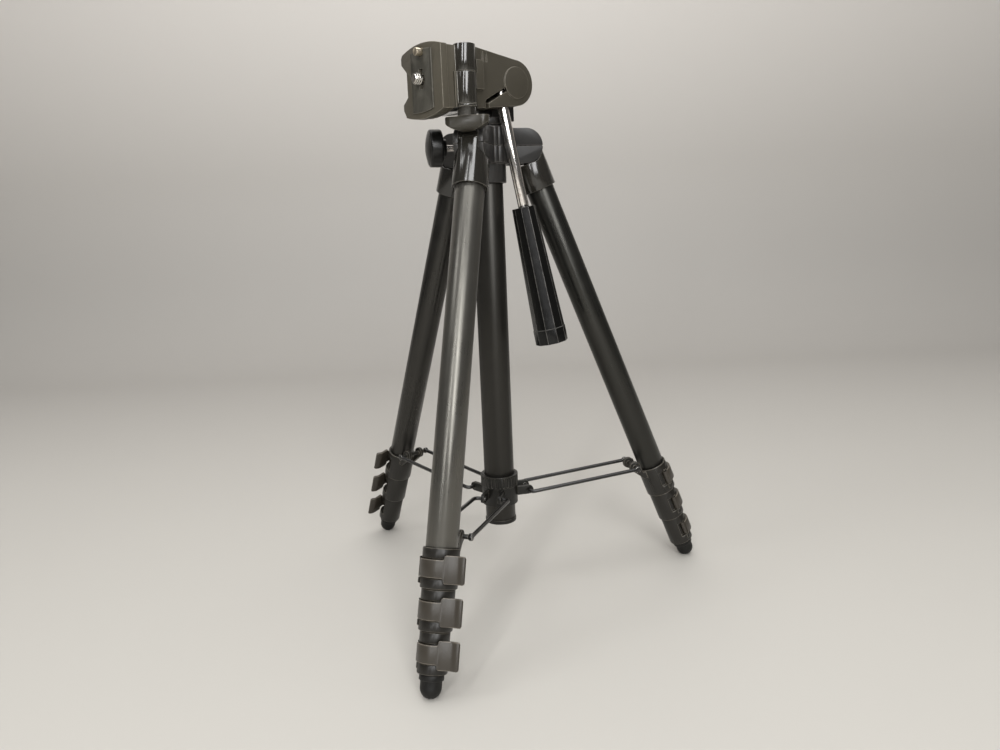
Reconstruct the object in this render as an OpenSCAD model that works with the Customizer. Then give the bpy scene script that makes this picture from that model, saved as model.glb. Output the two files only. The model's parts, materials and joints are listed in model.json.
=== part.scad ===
// Compact four-section tripod with a pan and tilt head. It stands on spread
// legs with the sections in, the head folded down and the pan handle hanging.
// +Z is up and the origin is on the floor under the centre column. Leg A points
// along -Y, leg C to the right of it and leg B to the left.

/* [Stance] */
// Angle of each leg from the vertical
leg_angle = 21.7; // [20:0.1:23]
// Distance of the leg pivots from the column axis
pivot_r = 22.9; // [22.5:0.1:25]

/* [Legs] */
// Outer diameter of the upper leg tube
upper_tube_d = 16.8; // [16.4:0.1:17]
// How much smaller each nested tube is, in radius
tube_step = 1.3; // [1.2:0.05:1.4]
// Wall of the leg tubes
tube_wall = 0.8; // [0.6:0.05:0.85]
// Distance from the pivot to the top of the first clamp
clamp_top = 222.8; // [215:0.1:240]
// Length of one clamp body
clamp_len = 20.2; // [19:0.1:22]
// Gap between one folded clamp and the next
clamp_gap = 0.4; // [0.3:0.05:1]
// Room between the core of the sleeve and the top of a section that is in
section_room = 8.8; // [1:0.1:40]
// Length of tube that stays inside at full travel
section_overlap = 12; // [10:1:16]
// Radius of the top sleeve of a leg
sleeve_r = 10.2; // [9.8:0.1:10.6]
// Distance from the pivot to the lower rim of the sleeve
sleeve_len = 26.5; // [22:0.5:32]

/* [Clamps] */
// Radius of the first clamp body
clamp_r = 9.7; // [9.4:0.05:9.7]
// How much smaller each next clamp is, in radius
clamp_step = 0.95; // [0.8:0.05:1.1]
// Height of the end rings of a clamp
clamp_ring = 5.2; // [4.8:0.1:5.8]
// Direction of the lever hinge, round from the outward side of the leg
hinge_angle = -62; // [-64:1:-58]
// Height of the wide end of a lever
lever_h = 14; // [12:0.5:16]
// Length of the straight thumb plate of a lever
lever_plate = 12.5; // [10:0.5:14]
// Radius of the foot tip
foot_r = 5.55; // [5.2:0.05:6]
// Length of the foot from its collar to the centre of its round end
foot_len = 6.4; // [5:0.1:10]

/* [Braces] */
// Radius of the brace pins about the column
collar_pin_r = 18; // [17:0.1:18.5]
// Height of the brace pins on the collar
collar_pin_z = 62.8; // [58:0.1:66]
// Distance of the leg lug pin above the first clamp
lug_up = 5.8; // [5.5:0.1:8]
// Distance of the leg lug pin from the leg axis
lug_out = 13; // [12.6:0.1:14]
// Radius of the brace wire
wire_r = 1.2; // [1:0.05:1.3]
// Half distance between the two wires of a brace
wire_half = 11.2; // [11.2:0.05:12]

/* [Column] */
// Outer radius of the centre tube
tube_r = 9.5; // [9.3:0.05:9.7]
// Radius of the sliding inner column
column_r = 8.2; // [7.8:0.05:8.2]
// Length of the inner column below the hub top
column_len = 187; // [175:1:200]
// Height of the bottom of the centre tube
tube_bottom = 45; // [42:0.5:50]
// Radius of the hub body
hub_r = 13; // [12.6:0.1:13.6]
// Radius of the round ears that carry the legs
ear_r = 10; // [9.6:0.1:10]
// Half width of a hub arm
arm_half = 8.8; // [8.6:0.1:8.8]
// Thickness of each ear of a hub arm
ear_t = 2.9; // [2.6:0.1:3.2]

/* [Head] */
// Direction of the platform about the column
head_turn = -125; // [-126:0.5:-124]
// Height of the tilt axle above the hub top
axle_up = 22.2; // [22.1:0.1:23]
// Distance of the tilt axle behind the column
axle_back = 7.1; // [6.6:0.1:7.6]
// Radius of the round end of the tilt housing
housing_r = 12.4; // [12:0.1:12.8]
// Distance of the near face of the housing from the column
housing_near = 21.5; // [21.5:0.1:22]
// Distance of the far face of the housing from the column
housing_far = 10.5; // [9.5:0.1:12]
// Length of the housing from the column to its front end
housing_front = 35.3; // [34.8:0.1:36]
// Radius of the hinge barrel
barrel_r = 6.1; // [5.8:0.1:6.2]
// Thickness of the front plate of the platform
platform_t = 4.1; // [3.9:0.1:5]
// Width of the platform
platform_w = 39.4; // [38.5:0.1:40]
// Height of the platform as it hangs
platform_h = 39.1; // [38.5:0.1:40]

/* [Handle] */
// Radius of the handle rod
rod_r = 3.15; // [2.9:0.05:3.2]
// Length of the handle below the housing
handle_len = 137.5; // [120:0.5:140]
// Length of the grip with its end cap
grip_len = 81.5; // [70:0.5:85]
// Lean of the hanging handle, back from the platform
handle_lean = 8.2; // [7.8:0.1:8.6]
// Lean of the hanging handle, out past the legs
handle_out = 6.1; // [6:0.1:6.8]

/* [Hidden] */
$fn = 64;
LEGS = ["a", "b", "c"];
LEG_TURN = [-90, 150, 30];

// Clearances: a turning or sliding fit, a glued or pressed seat, a free gap.
run = 0.06;
seat = 0.05;
free = 0.3;
eps = 0.01;

// Leg lengths, measured down the leg axis from its pivot.
clamp_pitch = clamp_len + clamp_gap;
foot_top = clamp_top + 3 * clamp_pitch;
foot_ball = foot_top + foot_len;
foot_flat = 0.25;
pivot_z = foot_ball * cos(leg_angle) + foot_r - foot_flat;
function section_r(k) = upper_tube_d / 2 - (k - 1) * tube_step;
function body_r(k) = clamp_r - (k - 1) * clamp_step;
function clamp_start(k) = clamp_top + (k - 1) * clamp_pitch;
tube_seat = clamp_ring - 0.2;
sleeve_solid = 12;
section_travel = clamp_top - sleeve_solid - section_room - section_overlap;
tongue_half = arm_half - ear_t - free;
tongue_r = ear_r - 0.4;
pin_r = 2;

// Clamp and lever, in the plane across the leg.
eye_r = 1.7;
hinge_pin_r = 0.8;
boss_r = 1.8;
band_wall = 0.85;
lever_proud = 0.9;
tongue_h = clamp_len - 2 * clamp_ring - 0.8;
plate_t = 1.8;
plate_turn = 15;
function band_r(k) = section_r(k + 1) + run + band_wall;
function hinge_r(k) = section_r(k + 1) + free + eye_r;

// Braces, in the plane of a leg.
lug_s = clamp_top - lug_up;
lug_ear_r = 3.6;
lug_ear_in = 4.2;
lug_ear_t = 2.2;
lug_pin_r = 1.3;
wire_bend = 2.6;
wire_eye_r = 2;
wire_eye_t = 2 * wire_r - 0.3;
leg_pin_r = pivot_r + lug_s * sin(leg_angle) - lug_out * cos(leg_angle);
leg_pin_z = pivot_z - lug_s * cos(leg_angle) - lug_out * sin(leg_angle);
arm_len = norm([leg_pin_r - collar_pin_r, leg_pin_z - collar_pin_z]);
arm_rise = atan2(leg_pin_z - collar_pin_z, leg_pin_r - collar_pin_r);
collar_r = 11.4;
collar_low = 7.8;
collar_mid = 3.8;
knurl_r = 11.9;
knurl_h = 7.7;
knurl_count = 30;
collar_ear_r = 2.8;
collar_ear_in = 4.3;
collar_ear_t = 2.2;

// Hub and column.
hub_low = pivot_z - ear_r - 0.2;
hub_top = pivot_z + ear_r + 1.3;
rib_r = 2.6;
rib_sunk = 1.2;
rib_inset = 0.8;
rib_turn = 17;
guide_r = 11.7;
guide_len = 10.5;
tube_socket = 2.5;
tube_bore = tube_r - 1;
spigot_r = 5;
spigot_len = 6;
lock_turn = -150;
lock_r = 10.7;
lock_in = 26.4;
lock_t = 7.6;
lock_fillet = 1.4;
lock_dome = 1.8;
boss_end = 17.5;
screw_r = 2;
rim_r = 9.9;
rim_h = 2.5;

// Head, in its own frame: x to the platform, y to the near side, z up.
pan_gap = free;
pan_low = hub_top + pan_gap;
pan_disc_r = 14;
pan_disc_h = 3.9;
pan_screw_turn = 53;
post_r = 8.4;
axle_x = -axle_back;
axle_z = hub_top + axle_up;
axle_r = 4;
boss_tilt_r = 8;
yoke_far = -4.5;
yoke_near = 9.2;
yoke_low = pan_low + pan_disc_h - 1;
wedge_x = 22;
housing_low = axle_z - 15.6;
housing_high = axle_z + 16.6;
cheek_far = yoke_far - 0.5;
cheek_near = yoke_near + 0.5;
cover_r = 8.6;
cover_t = 0.9;
slit_x = 13.95;
slit_w = 2.3;
slit_bend = axle_z - 11.4;
rib_low = axle_z - 5.8;
rib_high = axle_z + 9.3;
barrel_x = housing_front - 7.5;
barrel_y = housing_near - 1;
barrel_low = housing_low + 1.9;
barrel_high = housing_high + 0.3;
barrel_split = axle_z + 2.6;
bolt_r = 3;
plate_x = housing_front + free;
plate_step = 3.9;
plate_inset = 0.6;
platform_x = plate_x + plate_step;
face_x = platform_x + platform_t;
platform_near = barrel_y + 0.7;
platform_far = platform_near - platform_w;
platform_mid = axle_z;
platform_low = platform_mid - platform_h / 2;
platform_high = platform_mid + platform_h / 2;
platform_bulge_r = 61;
platform_bulge_y = platform_near - 19.7;
platform_corner = 2.2;
notch_in = 5;
step_far = platform_near - 26.6;
pad_t = 0.8;
pad_inset = 8.2;
pad_w = 20.4;
pad_end = 3.2;
mount_y = platform_near - 18.9;
mount_z = platform_mid + 1;
mount_r = 3.175;
mount_out = 4.8;
thread_start = 0.2;
thread_x = face_x + pad_t + thread_start;
neck_r = 2.4;
wheel_r = 10.6;
wheel_t = 3;
wheel_x = plate_x + 1;
slot_len = 10.5;
slot_half = 1.9;
video_y = mount_y + 0.7;
video_z = mount_z + 13.8;
video_r = 2.1;
video_out = 3.4;
video_seat = plate_x + 0.8;
rod_y = housing_near - rod_r - 0.55;
rod_x = axle_x + 7.1;
rod_z = axle_z - 14.1;
rod_in = 15;
grip_top_r = 7;
grip_end_r = 9.5;
cap_r = 9.8;
cap_len = 9;
ring_r = 6.2;
ring_t = 1.2;
shank_r = 5.1;
knob_len = 25;
knob_half = 3.5;
knob_high = platform_low - free;
knob_h = 8.1;
knob_bow_r = 18.9;
knob_round_r = knob_half + 0.3;
knob_turn = 126;

// ---------------------------------------------------------------- placing

// Puts children in the frame of one leg: its axis down -z, outward along +x.
module on_leg(leg) {
    rotate([0, 0, LEG_TURN[leg]])
        translate([pivot_r, 0, pivot_z])
            rotate([0, -leg_angle, 0])
                children();
}

// A cylinder down the leg axis between two distances from the pivot.
module leg_cylinder(from, to, r) {
    translate([0, 0, -to]) cylinder(r = r, h = to - from);
}

// A cylinder along y, centred, at x and z.
module cross_cylinder(x, z, r, half) {
    translate([x, 0, z]) rotate([90, 0, 0]) cylinder(r = r, h = 2 * half, center = true);
}

// A cylinder along y between two values of y, at x and z.
module span_cylinder(x, z, r, from, to) {
    translate([x, to, z]) rotate([90, 0, 0]) cylinder(r = r, h = to - from);
}

// Mirrored pair about the plane y = 0.
module both_sides() {
    for (side = [0, 1]) mirror([0, side, 0]) children();
}

// A disc with rounded edges.
module rounded_disc(r, h, fillet) {
    rotate_extrude() {
        square([r - fillet, h]);
        translate([0, fillet]) square([r, h - 2 * fillet]);
        for (y = [fillet, h - fillet]) translate([r - fillet, y]) circle(r = fillet);
    }
}

module head_frame() {
    rotate([0, 0, head_turn]) children();
}

// Handle frame: its axis down -z from where the rod leaves the housing.
module handle_frame() {
    head_frame()
        translate([rod_x, rod_y, rod_z])
            rotate([handle_out, handle_lean, 0])
                children();
}

// Extrudes an outline drawn in (x, z) along y between two values of y.
module side_plate(from, to) {
    translate([0, to, 0]) rotate([90, 0, 0]) linear_extrude(to - from) children();
}

// Extrudes an outline drawn in (y, z) along x between two values of x.
module front_plate(from, to) {
    translate([from, 0, 0]) rotate([90, 0, 90]) linear_extrude(to - from) children();
}

// ---------------------------------------------------------------- hub

// One arm: two round ears with a slot between them for the leg tongue.
module hub_arm(inset) {
    side_plate(-arm_half + inset, arm_half - inset)
        union() {
            translate([pivot_r, pivot_z]) circle(r = ear_r - inset);
            translate([0, pivot_z - ear_r + inset])
                square([pivot_r, 2 * (ear_r - inset)]);
        }
}

module hub_outside(inset) {
    translate([0, 0, hub_low]) cylinder(r = hub_r - inset, h = hub_top - hub_low);
    for (turn = LEG_TURN) rotate([0, 0, turn]) hub_arm(inset);
    for (gap = [-30, 90], rib = [-1, 0, 1])
        rotate([0, 0, gap + rib * rib_turn])
            translate([hub_r - rib_sunk, 0, hub_low + rib_inset])
                cylinder(r = rib_r - inset, h = hub_top - hub_low - 2 * rib_inset);
    rotate([0, 0, lock_turn])
        translate([0, 0, pivot_z]) rotate([0, 90, 0])
            cylinder(r = 5.4 - inset, h = boss_end);
}

module hub_seam() {
    groove = 0.4;
    translate([0, 0, pivot_z - groove / 2])
        intersection() {
            difference() {
                translate([-50, -50, 0]) cube([100, 100, groove]);
                translate([0, 0, groove / 2 - pivot_z]) hub_outside(groove);
            }
            cylinder(r = pivot_r + ear_r + 2, h = groove);
        }
}

module hub_whole() {
    difference() {
        union() {
            hub_outside(0);
            translate([0, 0, hub_low - guide_len]) cylinder(r = guide_r, h = guide_len + eps);
        }
        // bushing bore of the sliding column and socket of the centre tube
        translate([0, 0, hub_low - guide_len - 1])
            cylinder(r = column_r + run, h = hub_top - hub_low + guide_len + 2);
        translate([0, 0, hub_low - guide_len - 1])
            cylinder(r = tube_r + seat, h = guide_len + 1 + tube_socket);
        for (turn = LEG_TURN) rotate([0, 0, turn]) {
            // slot for the leg tongue
            translate([pivot_r - tongue_r - 0.4, -tongue_half - free, hub_low - 1])
                cube([2 * ear_r + 5, 2 * (tongue_half + free), hub_top - hub_low + 2]);
            // blind seats of the pivot pin
            cross_cylinder(pivot_r, pivot_z, pin_r + seat, arm_half - 0.9);
        }
        rotate([0, 0, lock_turn])
            translate([0, 0, pivot_z]) rotate([0, 90, 0])
                cylinder(r = screw_r + run, h = boss_end + 5);
        hub_seam();
    }
}

module hub_lower() {
    color("#2b2b2a")
        intersection() {
            hub_whole();
            translate([-60, -60, hub_low - guide_len - 5])
                cube([120, 120, pivot_z - hub_low + guide_len + 5]);
        }
}

module hub_upper() {
    color("#2f2f2e")
        intersection() {
            hub_whole();
            translate([-60, -60, pivot_z]) cube([120, 120, hub_top - pivot_z + 5]);
        }
}

module leg_pins() {
    color("silver")
        for (turn = LEG_TURN) rotate([0, 0, turn])
            cross_cylinder(pivot_r, pivot_z, pin_r, arm_half - 1);
}

// ---------------------------------------------------------------- column

module centre_tube() {
    top = hub_low + tube_socket - seat;
    color("#1d1d1c")
        difference() {
            translate([0, 0, tube_bottom]) cylinder(r = tube_r, h = top - tube_bottom);
            translate([0, 0, tube_bottom - 1]) cylinder(r = tube_bore, h = top - tube_bottom + 2);
        }
}

module tube_end_cap() {
    color("#242423") {
        translate([0, 0, tube_bottom - rim_h]) cylinder(r = rim_r, h = rim_h);
        translate([0, 0, tube_bottom - eps]) cylinder(r = tube_bore - seat, h = 5);
    }
}

module inner_column() {
    low = hub_top - column_len;
    color("#3a3a39")
        union() {
            difference() {
                translate([0, 0, low]) cylinder(r = column_r, h = column_len);
                translate([0, 0, low - 1]) cylinder(r = column_r - 1, h = column_len - 11);
            }
            translate([0, 0, hub_top - eps]) cylinder(r = spigot_r, h = spigot_len);
        }
}

module lock_frame() {
    rotate([0, 0, lock_turn]) translate([0, 0, pivot_z]) rotate([0, 90, 0]) children();
}

module lock_knob() {
    flat_r = lock_r - lock_fillet;
    dome_r = (flat_r * flat_r + lock_dome * lock_dome) / (2 * lock_dome);
    color("#262625")
        lock_frame() difference() {
            union() {
                translate([0, 0, lock_in]) rounded_disc(lock_r, lock_t, lock_fillet);
                translate([0, 0, lock_in - 2.4]) cylinder(r = 5.2, h = 3);
                // domed outer face
                intersection() {
                    translate([0, 0, lock_in + lock_t + lock_dome - dome_r])
                        sphere(r = dome_r);
                    translate([0, 0, lock_in + 2]) cylinder(r = flat_r - 0.3, h = 20);
                }
            }
            // seat of the screw
            translate([0, 0, lock_in - 3]) cylinder(r = screw_r + seat, h = 6);
        }
}

module lock_screw() {
    color("silver")
        lock_frame() translate([0, 0, column_r + free])
            cylinder(r = screw_r, h = lock_in + 2.8 - column_r - free);
}

// ---------------------------------------------------------------- braces

module collar_ear() {
    difference() {
        side_plate(collar_ear_in, collar_ear_in + collar_ear_t)
            union() {
                translate([collar_pin_r, collar_pin_z]) circle(r = collar_ear_r);
                translate([tube_r + 0.7, collar_pin_z - collar_ear_r])
                    square([collar_pin_r - tube_r - 0.7, 2 * collar_ear_r]);
            }
        cross_cylinder(collar_pin_r, collar_pin_z, wire_r + run, 10);
    }
}

module brace_collar() {
    low = collar_pin_z - collar_low;
    high = collar_pin_z + collar_mid;
    color("#232322")
        difference() {
            union() {
                translate([0, 0, low]) cylinder(r = collar_r, h = high - low + eps);
                translate([0, 0, high]) cylinder(r = knurl_r, h = knurl_h);
                for (turn = LEG_TURN) rotate([0, 0, turn]) both_sides() collar_ear();
            }
            translate([0, 0, low - 1]) cylinder(r = tube_r + run, h = high - low + knurl_h + 2);
            for (i = [0 : knurl_count - 1]) rotate([0, 0, i * 360 / knurl_count])
                translate([knurl_r + 0.3, 0, high + 0.8]) cylinder(r = 0.65, h = knurl_h - 1.6);
        }
}

// One wire: the straight run, a quarter bend into the collar and the end there.
module brace_wire() {
    translate([wire_bend, wire_half, 0]) rotate([0, 90, 0])
        cylinder(r = wire_r, h = arm_len - wire_bend);
    translate([wire_bend, wire_half - wire_bend, 0])
        rotate([0, 0, 90]) rotate_extrude(angle = 90)
            translate([wire_bend, 0]) circle(r = wire_r);
    span_cylinder(0, 0, wire_r, collar_ear_in - free, wire_half - wire_bend);
}

// One brace: two wires side by side, each with a flattened eye at the leg.
module brace_arm(leg) {
    color("#151514")
        rotate([0, 0, LEG_TURN[leg]])
            translate([collar_pin_r, 0, collar_pin_z])
                rotate([0, -arm_rise, 0])
                    both_sides() {
                        brace_wire();
                        span_cylinder(arm_len, 0, wire_eye_r, wire_half - wire_eye_t / 2,
                                      wire_half + wire_eye_t / 2);
                    }
}

// ---------------------------------------------------------------- legs

// Room that the round ears of the hub need in the top of the sleeve.
module ear_room() {
    both_sides()
        translate([0, tongue_half + 20, 0]) rotate([90, 0, 0])
            cylinder(r = ear_r + free, h = 20);
}

module sleeve(leg) {
    color("#1f1f1e")
        on_leg(leg) difference() {
            union() {
                leg_cylinder(0, sleeve_len, sleeve_r);
                intersection() {
                    cross_cylinder(0, 0, tongue_r, tongue_half);
                    translate([-20, -20, -1]) cube([40, 40, 40]);
                }
            }
            ear_room();
            // the inner side is cut back to the tongue, clear of the hub body
            difference() {
                translate([-20, -20, -ear_r]) cube([20, 40, 12]);
                cross_cylinder(0, 0, tongue_r, tongue_half);
            }
            leg_cylinder(sleeve_solid, sleeve_len + 1, section_r(1) + seat);
            cross_cylinder(0, 0, pin_r + run, 20);
        }
}

// Tube 1 is fixed in the sleeve. Tubes 2 to 4 slide and have a guide bush on top.
module leg_tube(leg, k) {
    top = k == 1 ? sleeve_solid + seat
        : clamp_start(k - 1) - section_travel - section_overlap;
    low = k == 4 ? foot_ball - 2 : clamp_start(k) + tube_seat;
    bush = 8;
    color(k == 1 ? "#4c4a47" : "#3d3d3c")
        on_leg(leg) difference() {
            union() {
                leg_cylinder(top, low, section_r(k));
                if (k > 1)
                    leg_cylinder(top, top + bush, section_r(k - 1) - tube_wall - run);
            }
            leg_cylinder(top - 1, low + 1, section_r(k) - tube_wall);
        }
}

// Lug on the inner side of the first clamp, with the pin that meets the brace.
module clamp_lug() {
    both_sides() side_plate(lug_ear_in, lug_ear_in + lug_ear_t)
        union() {
            translate([-lug_out, -lug_s]) circle(r = lug_ear_r);
            polygon([
                [-lug_out - lug_ear_r, -lug_s],
                [-section_r(1) - 0.7, -lug_s + 1],
                [-section_r(1) - 0.7, -clamp_top - 0.5],
                [-clamp_r * 0.6, -clamp_top - 0.5],
                [-clamp_r * 0.6, -clamp_top - clamp_ring],
                [-clamp_r, -clamp_top - clamp_ring]
            ]);
        }
    cross_cylinder(-lug_out, -lug_s, lug_pin_r, wire_half - wire_eye_t / 2 - free);
}

module at_hinge(k) {
    rotate([0, 0, hinge_angle]) translate([hinge_r(k), 0, 0]) children();
}

module clamp(leg, k) {
    top = clamp_start(k);
    low = top + clamp_len;
    color("#292928")
        on_leg(leg) difference() {
            union() {
                leg_cylinder(top, low, body_r(k));
                at_hinge(k) leg_cylinder(top + tube_seat + 0.1, top + clamp_ring, boss_r);
                at_hinge(k) leg_cylinder(low - clamp_ring, low - clamp_ring + 3, boss_r);
                if (k == 1) clamp_lug();
            }
            // recess of the lever round the outer side
            difference() {
                translate([-1, -20, -low + clamp_ring])
                    cube([40, 40, clamp_len - 2 * clamp_ring]);
                leg_cylinder(top, low, band_r(k));
                at_hinge(k) leg_cylinder(top, low, hinge_pin_r);
            }
            difference() {
                at_hinge(k) leg_cylinder(top + clamp_ring, low - clamp_ring, eye_r + free);
                at_hinge(k) leg_cylinder(top, low, hinge_pin_r);
            }
            leg_cylinder(top - 1, top + clamp_ring, section_r(k) + seat);
            leg_cylinder(top, low + 1, section_r(k + 1) + run);
        }
}

// Flip lever: an eye on the hinge, a tongue round the clamp and a thumb plate.
module lever(leg, k) {
    mid = clamp_start(k) + clamp_len / 2;
    outer = body_r(k) + lever_proud;
    plate_r = body_r(k) + free;
    color("#343331")
        on_leg(leg) difference() {
            union() {
                at_hinge(k) leg_cylinder(mid - tongue_h / 2, mid + tongue_h / 2, eye_r);
                translate([0, 0, -mid - tongue_h / 2])
                    rotate([0, 0, hinge_angle])
                        rotate_extrude(angle = plate_turn - hinge_angle + 6)
                            translate([band_r(k) + free, 0])
                                square([outer - band_r(k) - free, tongue_h]);
                rotate([0, 0, plate_turn]) {
                    translate([plate_r, 0, -mid - lever_h / 2])
                        cube([plate_t, lever_plate, lever_h]);
                    translate([plate_r + plate_t - 0.3, lever_plate, -mid - lever_h / 2])
                        cylinder(r = 1.3, h = lever_h);
                }
            }
            at_hinge(k) leg_cylinder(mid - clamp_len, mid + clamp_len, hinge_pin_r + run);
        }
}

module foot(leg) {
    color("#111111")
        difference() {
            on_leg(leg) difference() {
                union() {
                    leg_cylinder(foot_top, foot_top + 2.8, foot_r + 0.8);
                    leg_cylinder(foot_top + 1, foot_ball, foot_r);
                    translate([0, 0, -foot_ball]) sphere(r = foot_r);
                }
                leg_cylinder(foot_top - 1, foot_ball - 2 + seat, section_r(4) + seat);
            }
            translate([-300, -300, -20]) cube([600, 600, 20]);
        }
}

// ---------------------------------------------------------------- head

module pan_base() {
    color("#282827")
        head_frame() difference() {
            union() {
                translate([0, 0, pan_low]) cylinder(r = pan_disc_r, h = pan_disc_h);
                translate([0, 0, pan_low])
                    cylinder(r = post_r, h = housing_low - free - pan_low);
                span_cylinder(axle_x, axle_z, boss_tilt_r, yoke_far, yoke_near);
                translate([axle_x - boss_tilt_r, yoke_far, yoke_low])
                    cube([2 * boss_tilt_r, yoke_near - yoke_far, axle_z - yoke_low]);
            }
            translate([0, 0, pan_low - 1])
                cylinder(r = spigot_r + run, h = spigot_len + 1 - pan_gap + free);
            span_cylinder(axle_x, axle_z, axle_r + seat, -20, 20);
            pan_screw_shape(seat);
        }
}

module tilt_axle() {
    color("silver")
        head_frame()
            span_cylinder(axle_x, axle_z, axle_r, -housing_far + 1, housing_near - 0.4);
}

// The tension screw enters the rim of the pan base from the near side.
module pan_screw_shape(grow) {
    rotate([0, 0, pan_screw_turn]) translate([0, 0, pan_low + pan_disc_h / 2]) rotate([0, 90, 0]) {
        translate([0, 0, pan_disc_r - 5]) cylinder(r = 1.1 + grow, h = 6);
        translate([0, 0, pan_disc_r - 0.6 - grow]) cylinder(r = 1.7 + grow, h = 1.6);
    }
}

module pan_screw() {
    color("silver") head_frame() pan_screw_shape(0);
}

// Where the taper meets the round end, a little inside it, for one edge.
function taper_turn(h) =
    atan2(h, wedge_x - axle_x) - asin(housing_r / norm([wedge_x - axle_x, h]));
function taper_top(turn) =
    [axle_x - housing_r * sin(turn), axle_z + (housing_r - 0.08) * cos(turn)];
function taper_low(turn) =
    [axle_x - housing_r * sin(turn), axle_z - (housing_r - 0.08) * cos(turn)];

// Side outline of the housing: round at the axle, wedge to the platform.
module housing_outline() {
    translate([axle_x, axle_z]) circle(r = housing_r);
    polygon([
        taper_top(taper_turn(housing_high - axle_z)),
        [wedge_x, housing_high],
        [housing_front, housing_high],
        [housing_front, housing_low],
        [wedge_x, housing_low],
        taper_low(taper_turn(axle_z - housing_low))
    ]);
}

module tilt_housing() {
    color("#4d4b47")
        head_frame() {
            difference() {
                union() {
                    side_plate(-housing_far, housing_near) housing_outline();
                    translate([barrel_x, barrel_y, barrel_low])
                        cylinder(r = barrel_r, h = barrel_split - barrel_low);
                    // raised rib beside the barrel
                    translate([barrel_x - 9.8, housing_near - 1, rib_low])
                        cube([6, 4, rib_high - rib_low]);
                }
                // room for the yoke between the two cheeks
                translate([-30, cheek_far, housing_low - 20])
                    cube([30 + axle_x + boss_tilt_r + 0.6, cheek_near - cheek_far, 80]);
                span_cylinder(axle_x, axle_z, axle_r + run, -housing_far + 0.9, 40);
                // room for the platform knuckle above the split and the ring below
                translate([barrel_x, barrel_y, barrel_split])
                    cylinder(r = barrel_r + free, h = 40);
                translate([barrel_x - 2, barrel_y - 5.5, barrel_split]) cube([20, 20, 40]);
                translate([barrel_x, barrel_y, barrel_low - 1])
                    cylinder(r = bolt_r + run, h = 60);
                translate([barrel_x, barrel_y, housing_low - 1])
                    cylinder(r = ring_r + free, h = barrel_low - housing_low + 1);
                housing_slot();
                for (x = [barrel_x - 14.1, barrel_x - 11.4])
                    translate([x - 0.55, housing_near - 1, rib_high])
                        cube([1.1, 5, 5.2]);
                rod_bore();
            }
            // cover of the axle end
            span_cylinder(axle_x, axle_z, cover_r, housing_near, housing_near + cover_t);
        }
}

// The slot that lets the near cheek clamp: up from the lower face, then on a
// slant to the axle.
module housing_slot() {
    reach = norm([slit_x - axle_x, axle_z - slit_bend]);
    rise = atan2(axle_z - slit_bend, slit_x - axle_x);
    side_plate(cheek_near - 1, housing_near + 2)
        union() {
            translate([slit_x - slit_w / 2, housing_low - 2])
                square([slit_w, slit_bend + 0.6 - housing_low + 2]);
            translate([slit_x, slit_bend]) rotate(180 - rise)
                translate([0, -slit_w / 2]) square([reach, slit_w]);
        }
}

module rod_bore() {
    translate([rod_x, rod_y, rod_z]) rotate([handle_out, handle_lean, 0])
        translate([0, 0, -10]) cylinder(r = rod_r + run, h = 10 + rod_in + 0.3);
}

module handle_rod() {
    color("gainsboro")
        handle_frame()
            translate([0, 0, -(handle_len - grip_len + 12)])
                cylinder(r = rod_r, h = handle_len - grip_len + 12 + rod_in);
}

module handle_grip() {
    top = handle_len - grip_len;
    low = handle_len - cap_len;
    color("#131313")
        handle_frame() {
            difference() {
                translate([0, 0, -low])
                    cylinder(r1 = grip_end_r, r2 = grip_top_r, h = low - top, $fn = 10);
                translate([0, 0, -top - 12.2]) cylinder(r = rod_r + seat, h = 20);
            }
            translate([0, 0, -handle_len]) cylinder(r = cap_r, h = cap_len, $fn = 10);
        }
}

// Front outline of the platform in (y, z), drawn inwards by an inset: bowed
// ends between straight sides.
module platform_lens(inset) {
    intersection() {
        translate([platform_far + inset, platform_low])
            square([platform_w - 2 * inset, platform_h]);
        translate([platform_bulge_y, platform_high - platform_bulge_r])
            circle(r = platform_bulge_r - inset);
        translate([platform_bulge_y, platform_low + platform_bulge_r])
            circle(r = platform_bulge_r - inset);
    }
}

// The front plate: cut corners and a finger notch on the far side.
module platform_outline() {
    edge_high = platform_high - platform_corner - 2.4;
    edge_low = platform_low + platform_corner + 4.3;
    difference() {
        platform_lens(0);
        polygon([
            [platform_far - 1, mount_z + 11.3],
            [platform_far + eps, mount_z + 10.4],
            [platform_far + notch_in, mount_z + 5.8],
            [platform_far + notch_in, mount_z - 7.3],
            [platform_far + eps, mount_z - 10.8],
            [platform_far - 1, mount_z - 11.7]
        ]);
        for (corner = [[edge_high, 1], [edge_low, -1]])
            translate([platform_far, corner[0]]) polygon([
                [-1, 0], [0, 0], [platform_corner, corner[1] * (platform_corner + 1)],
                [platform_corner, corner[1] * 12], [-1, corner[1] * 12]
            ]);
    }
}

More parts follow.
